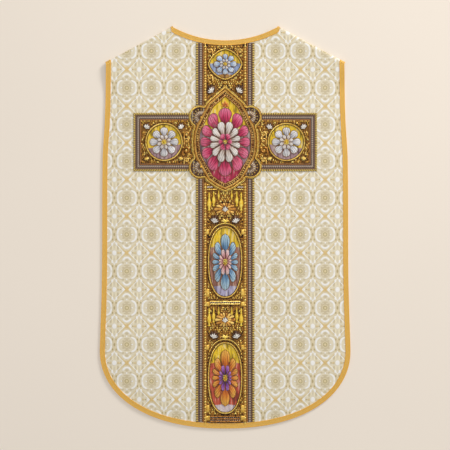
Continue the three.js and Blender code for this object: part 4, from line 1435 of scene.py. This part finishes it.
def lay_cell(x0, y0, mirrored, size):
    sign = -1 if mirrored else 1
    start = x0 + CELL_WIDE * size if mirrored else x0
    scrolls.put(SCROLL, start, y0, mirror=sign, size=size)
    for shape, x, y, turn, share in (
        (LEAF, 12.2, 12.4, -38, 0.66), (LEAF, 11.6, -0.4, -34, 0.66),
        (BLADE, 2.4, 12.2, 16, 0.9), (BEAD, 8.2, 9.2, 0, 1.5),
    ):
        brights.put(shape, start + sign * x * size, y0 + y * size, turn * sign, mirror=sign, size=share * size)
    taken.append((x0 + CELL_WIDE * size / 2, y0 + CELL_HIGH * size / 2, 8.4 * size))


for size in (1.35, 1.0):
    wide, high = CELL_WIDE * size, CELL_HIGH * size
    columns = 2 * round(BORDER / wide / 2 + 0.2) if size > 1 else 6
    arm_columns = round(128 / wide)
    arm_start = ARM_HALF * 1000 - 22 - arm_columns * wide
    bands = [dict(x0=-columns * wide / 2, columns=columns, y0=-534.0, rows=round(1050 / high))]
    for x0 in (arm_start, -arm_start - arm_columns * wide):
        bands.append(dict(x0=x0, columns=arm_columns, y0=CROSS - 58, rows=round(120 / high)))
    for band in bands:
        for row in range(band["rows"]):
            for column in range(band["columns"]):
                x0, y0 = band["x0"] + column * wide, band["y0"] + row * high
                if cell_free(x0, y0, column % 2 == 0, size):
                    lay_cell(x0, y0, column % 2 == 0, size)

# %% [markdown]
# What is left between them is strewn with small leaves and beads, the same on both sides.

# %% Strewn leaves
FILL = 5.0
for row in range(-106, 98):
    for column in range(0, 46):
        x, y = (column + 0.5 * (row % 2)) * FILL, row * FILL
        half = BORDER if abs(y - CROSS) > 80 else INNER
        if taken_at(x, y, 2.0) or taken_at(-x, y, 2.0) or not on_band(x, y, 2.2, half):
            continue
        turn, tint = chance.uniform(-50, 50), chance.random()
        if (row + column) % 3:
            heap, shape, foot = brights, BLADE, y - 2.4
        else:
            heap, shape, foot = scrolls, BEAD, y
        if x > 0:
            heap.pair(shape, x, foot, turn, tint=tint, size=1.05)
        else:
            heap.put(shape, 0, foot, 0, tint=tint, size=1.05)

scrolls.piece("gold_scrolls", "goldwork", old_gold)
brights.piece("gold_leaves", "goldwork", bright_gold)
edging.piece("dark_edging", "cord", brown_gold)
yellows.piece("gold_spindles", "goldwork", yellow_gold)
silvers.piece("silver_palmettes", "goldwork", silver)

# %% [markdown]
# The two panels are the garment's cloth, laid flat: the back on the front, and the front on the table.

# %% Sheets
print("cloth panels: back and front")
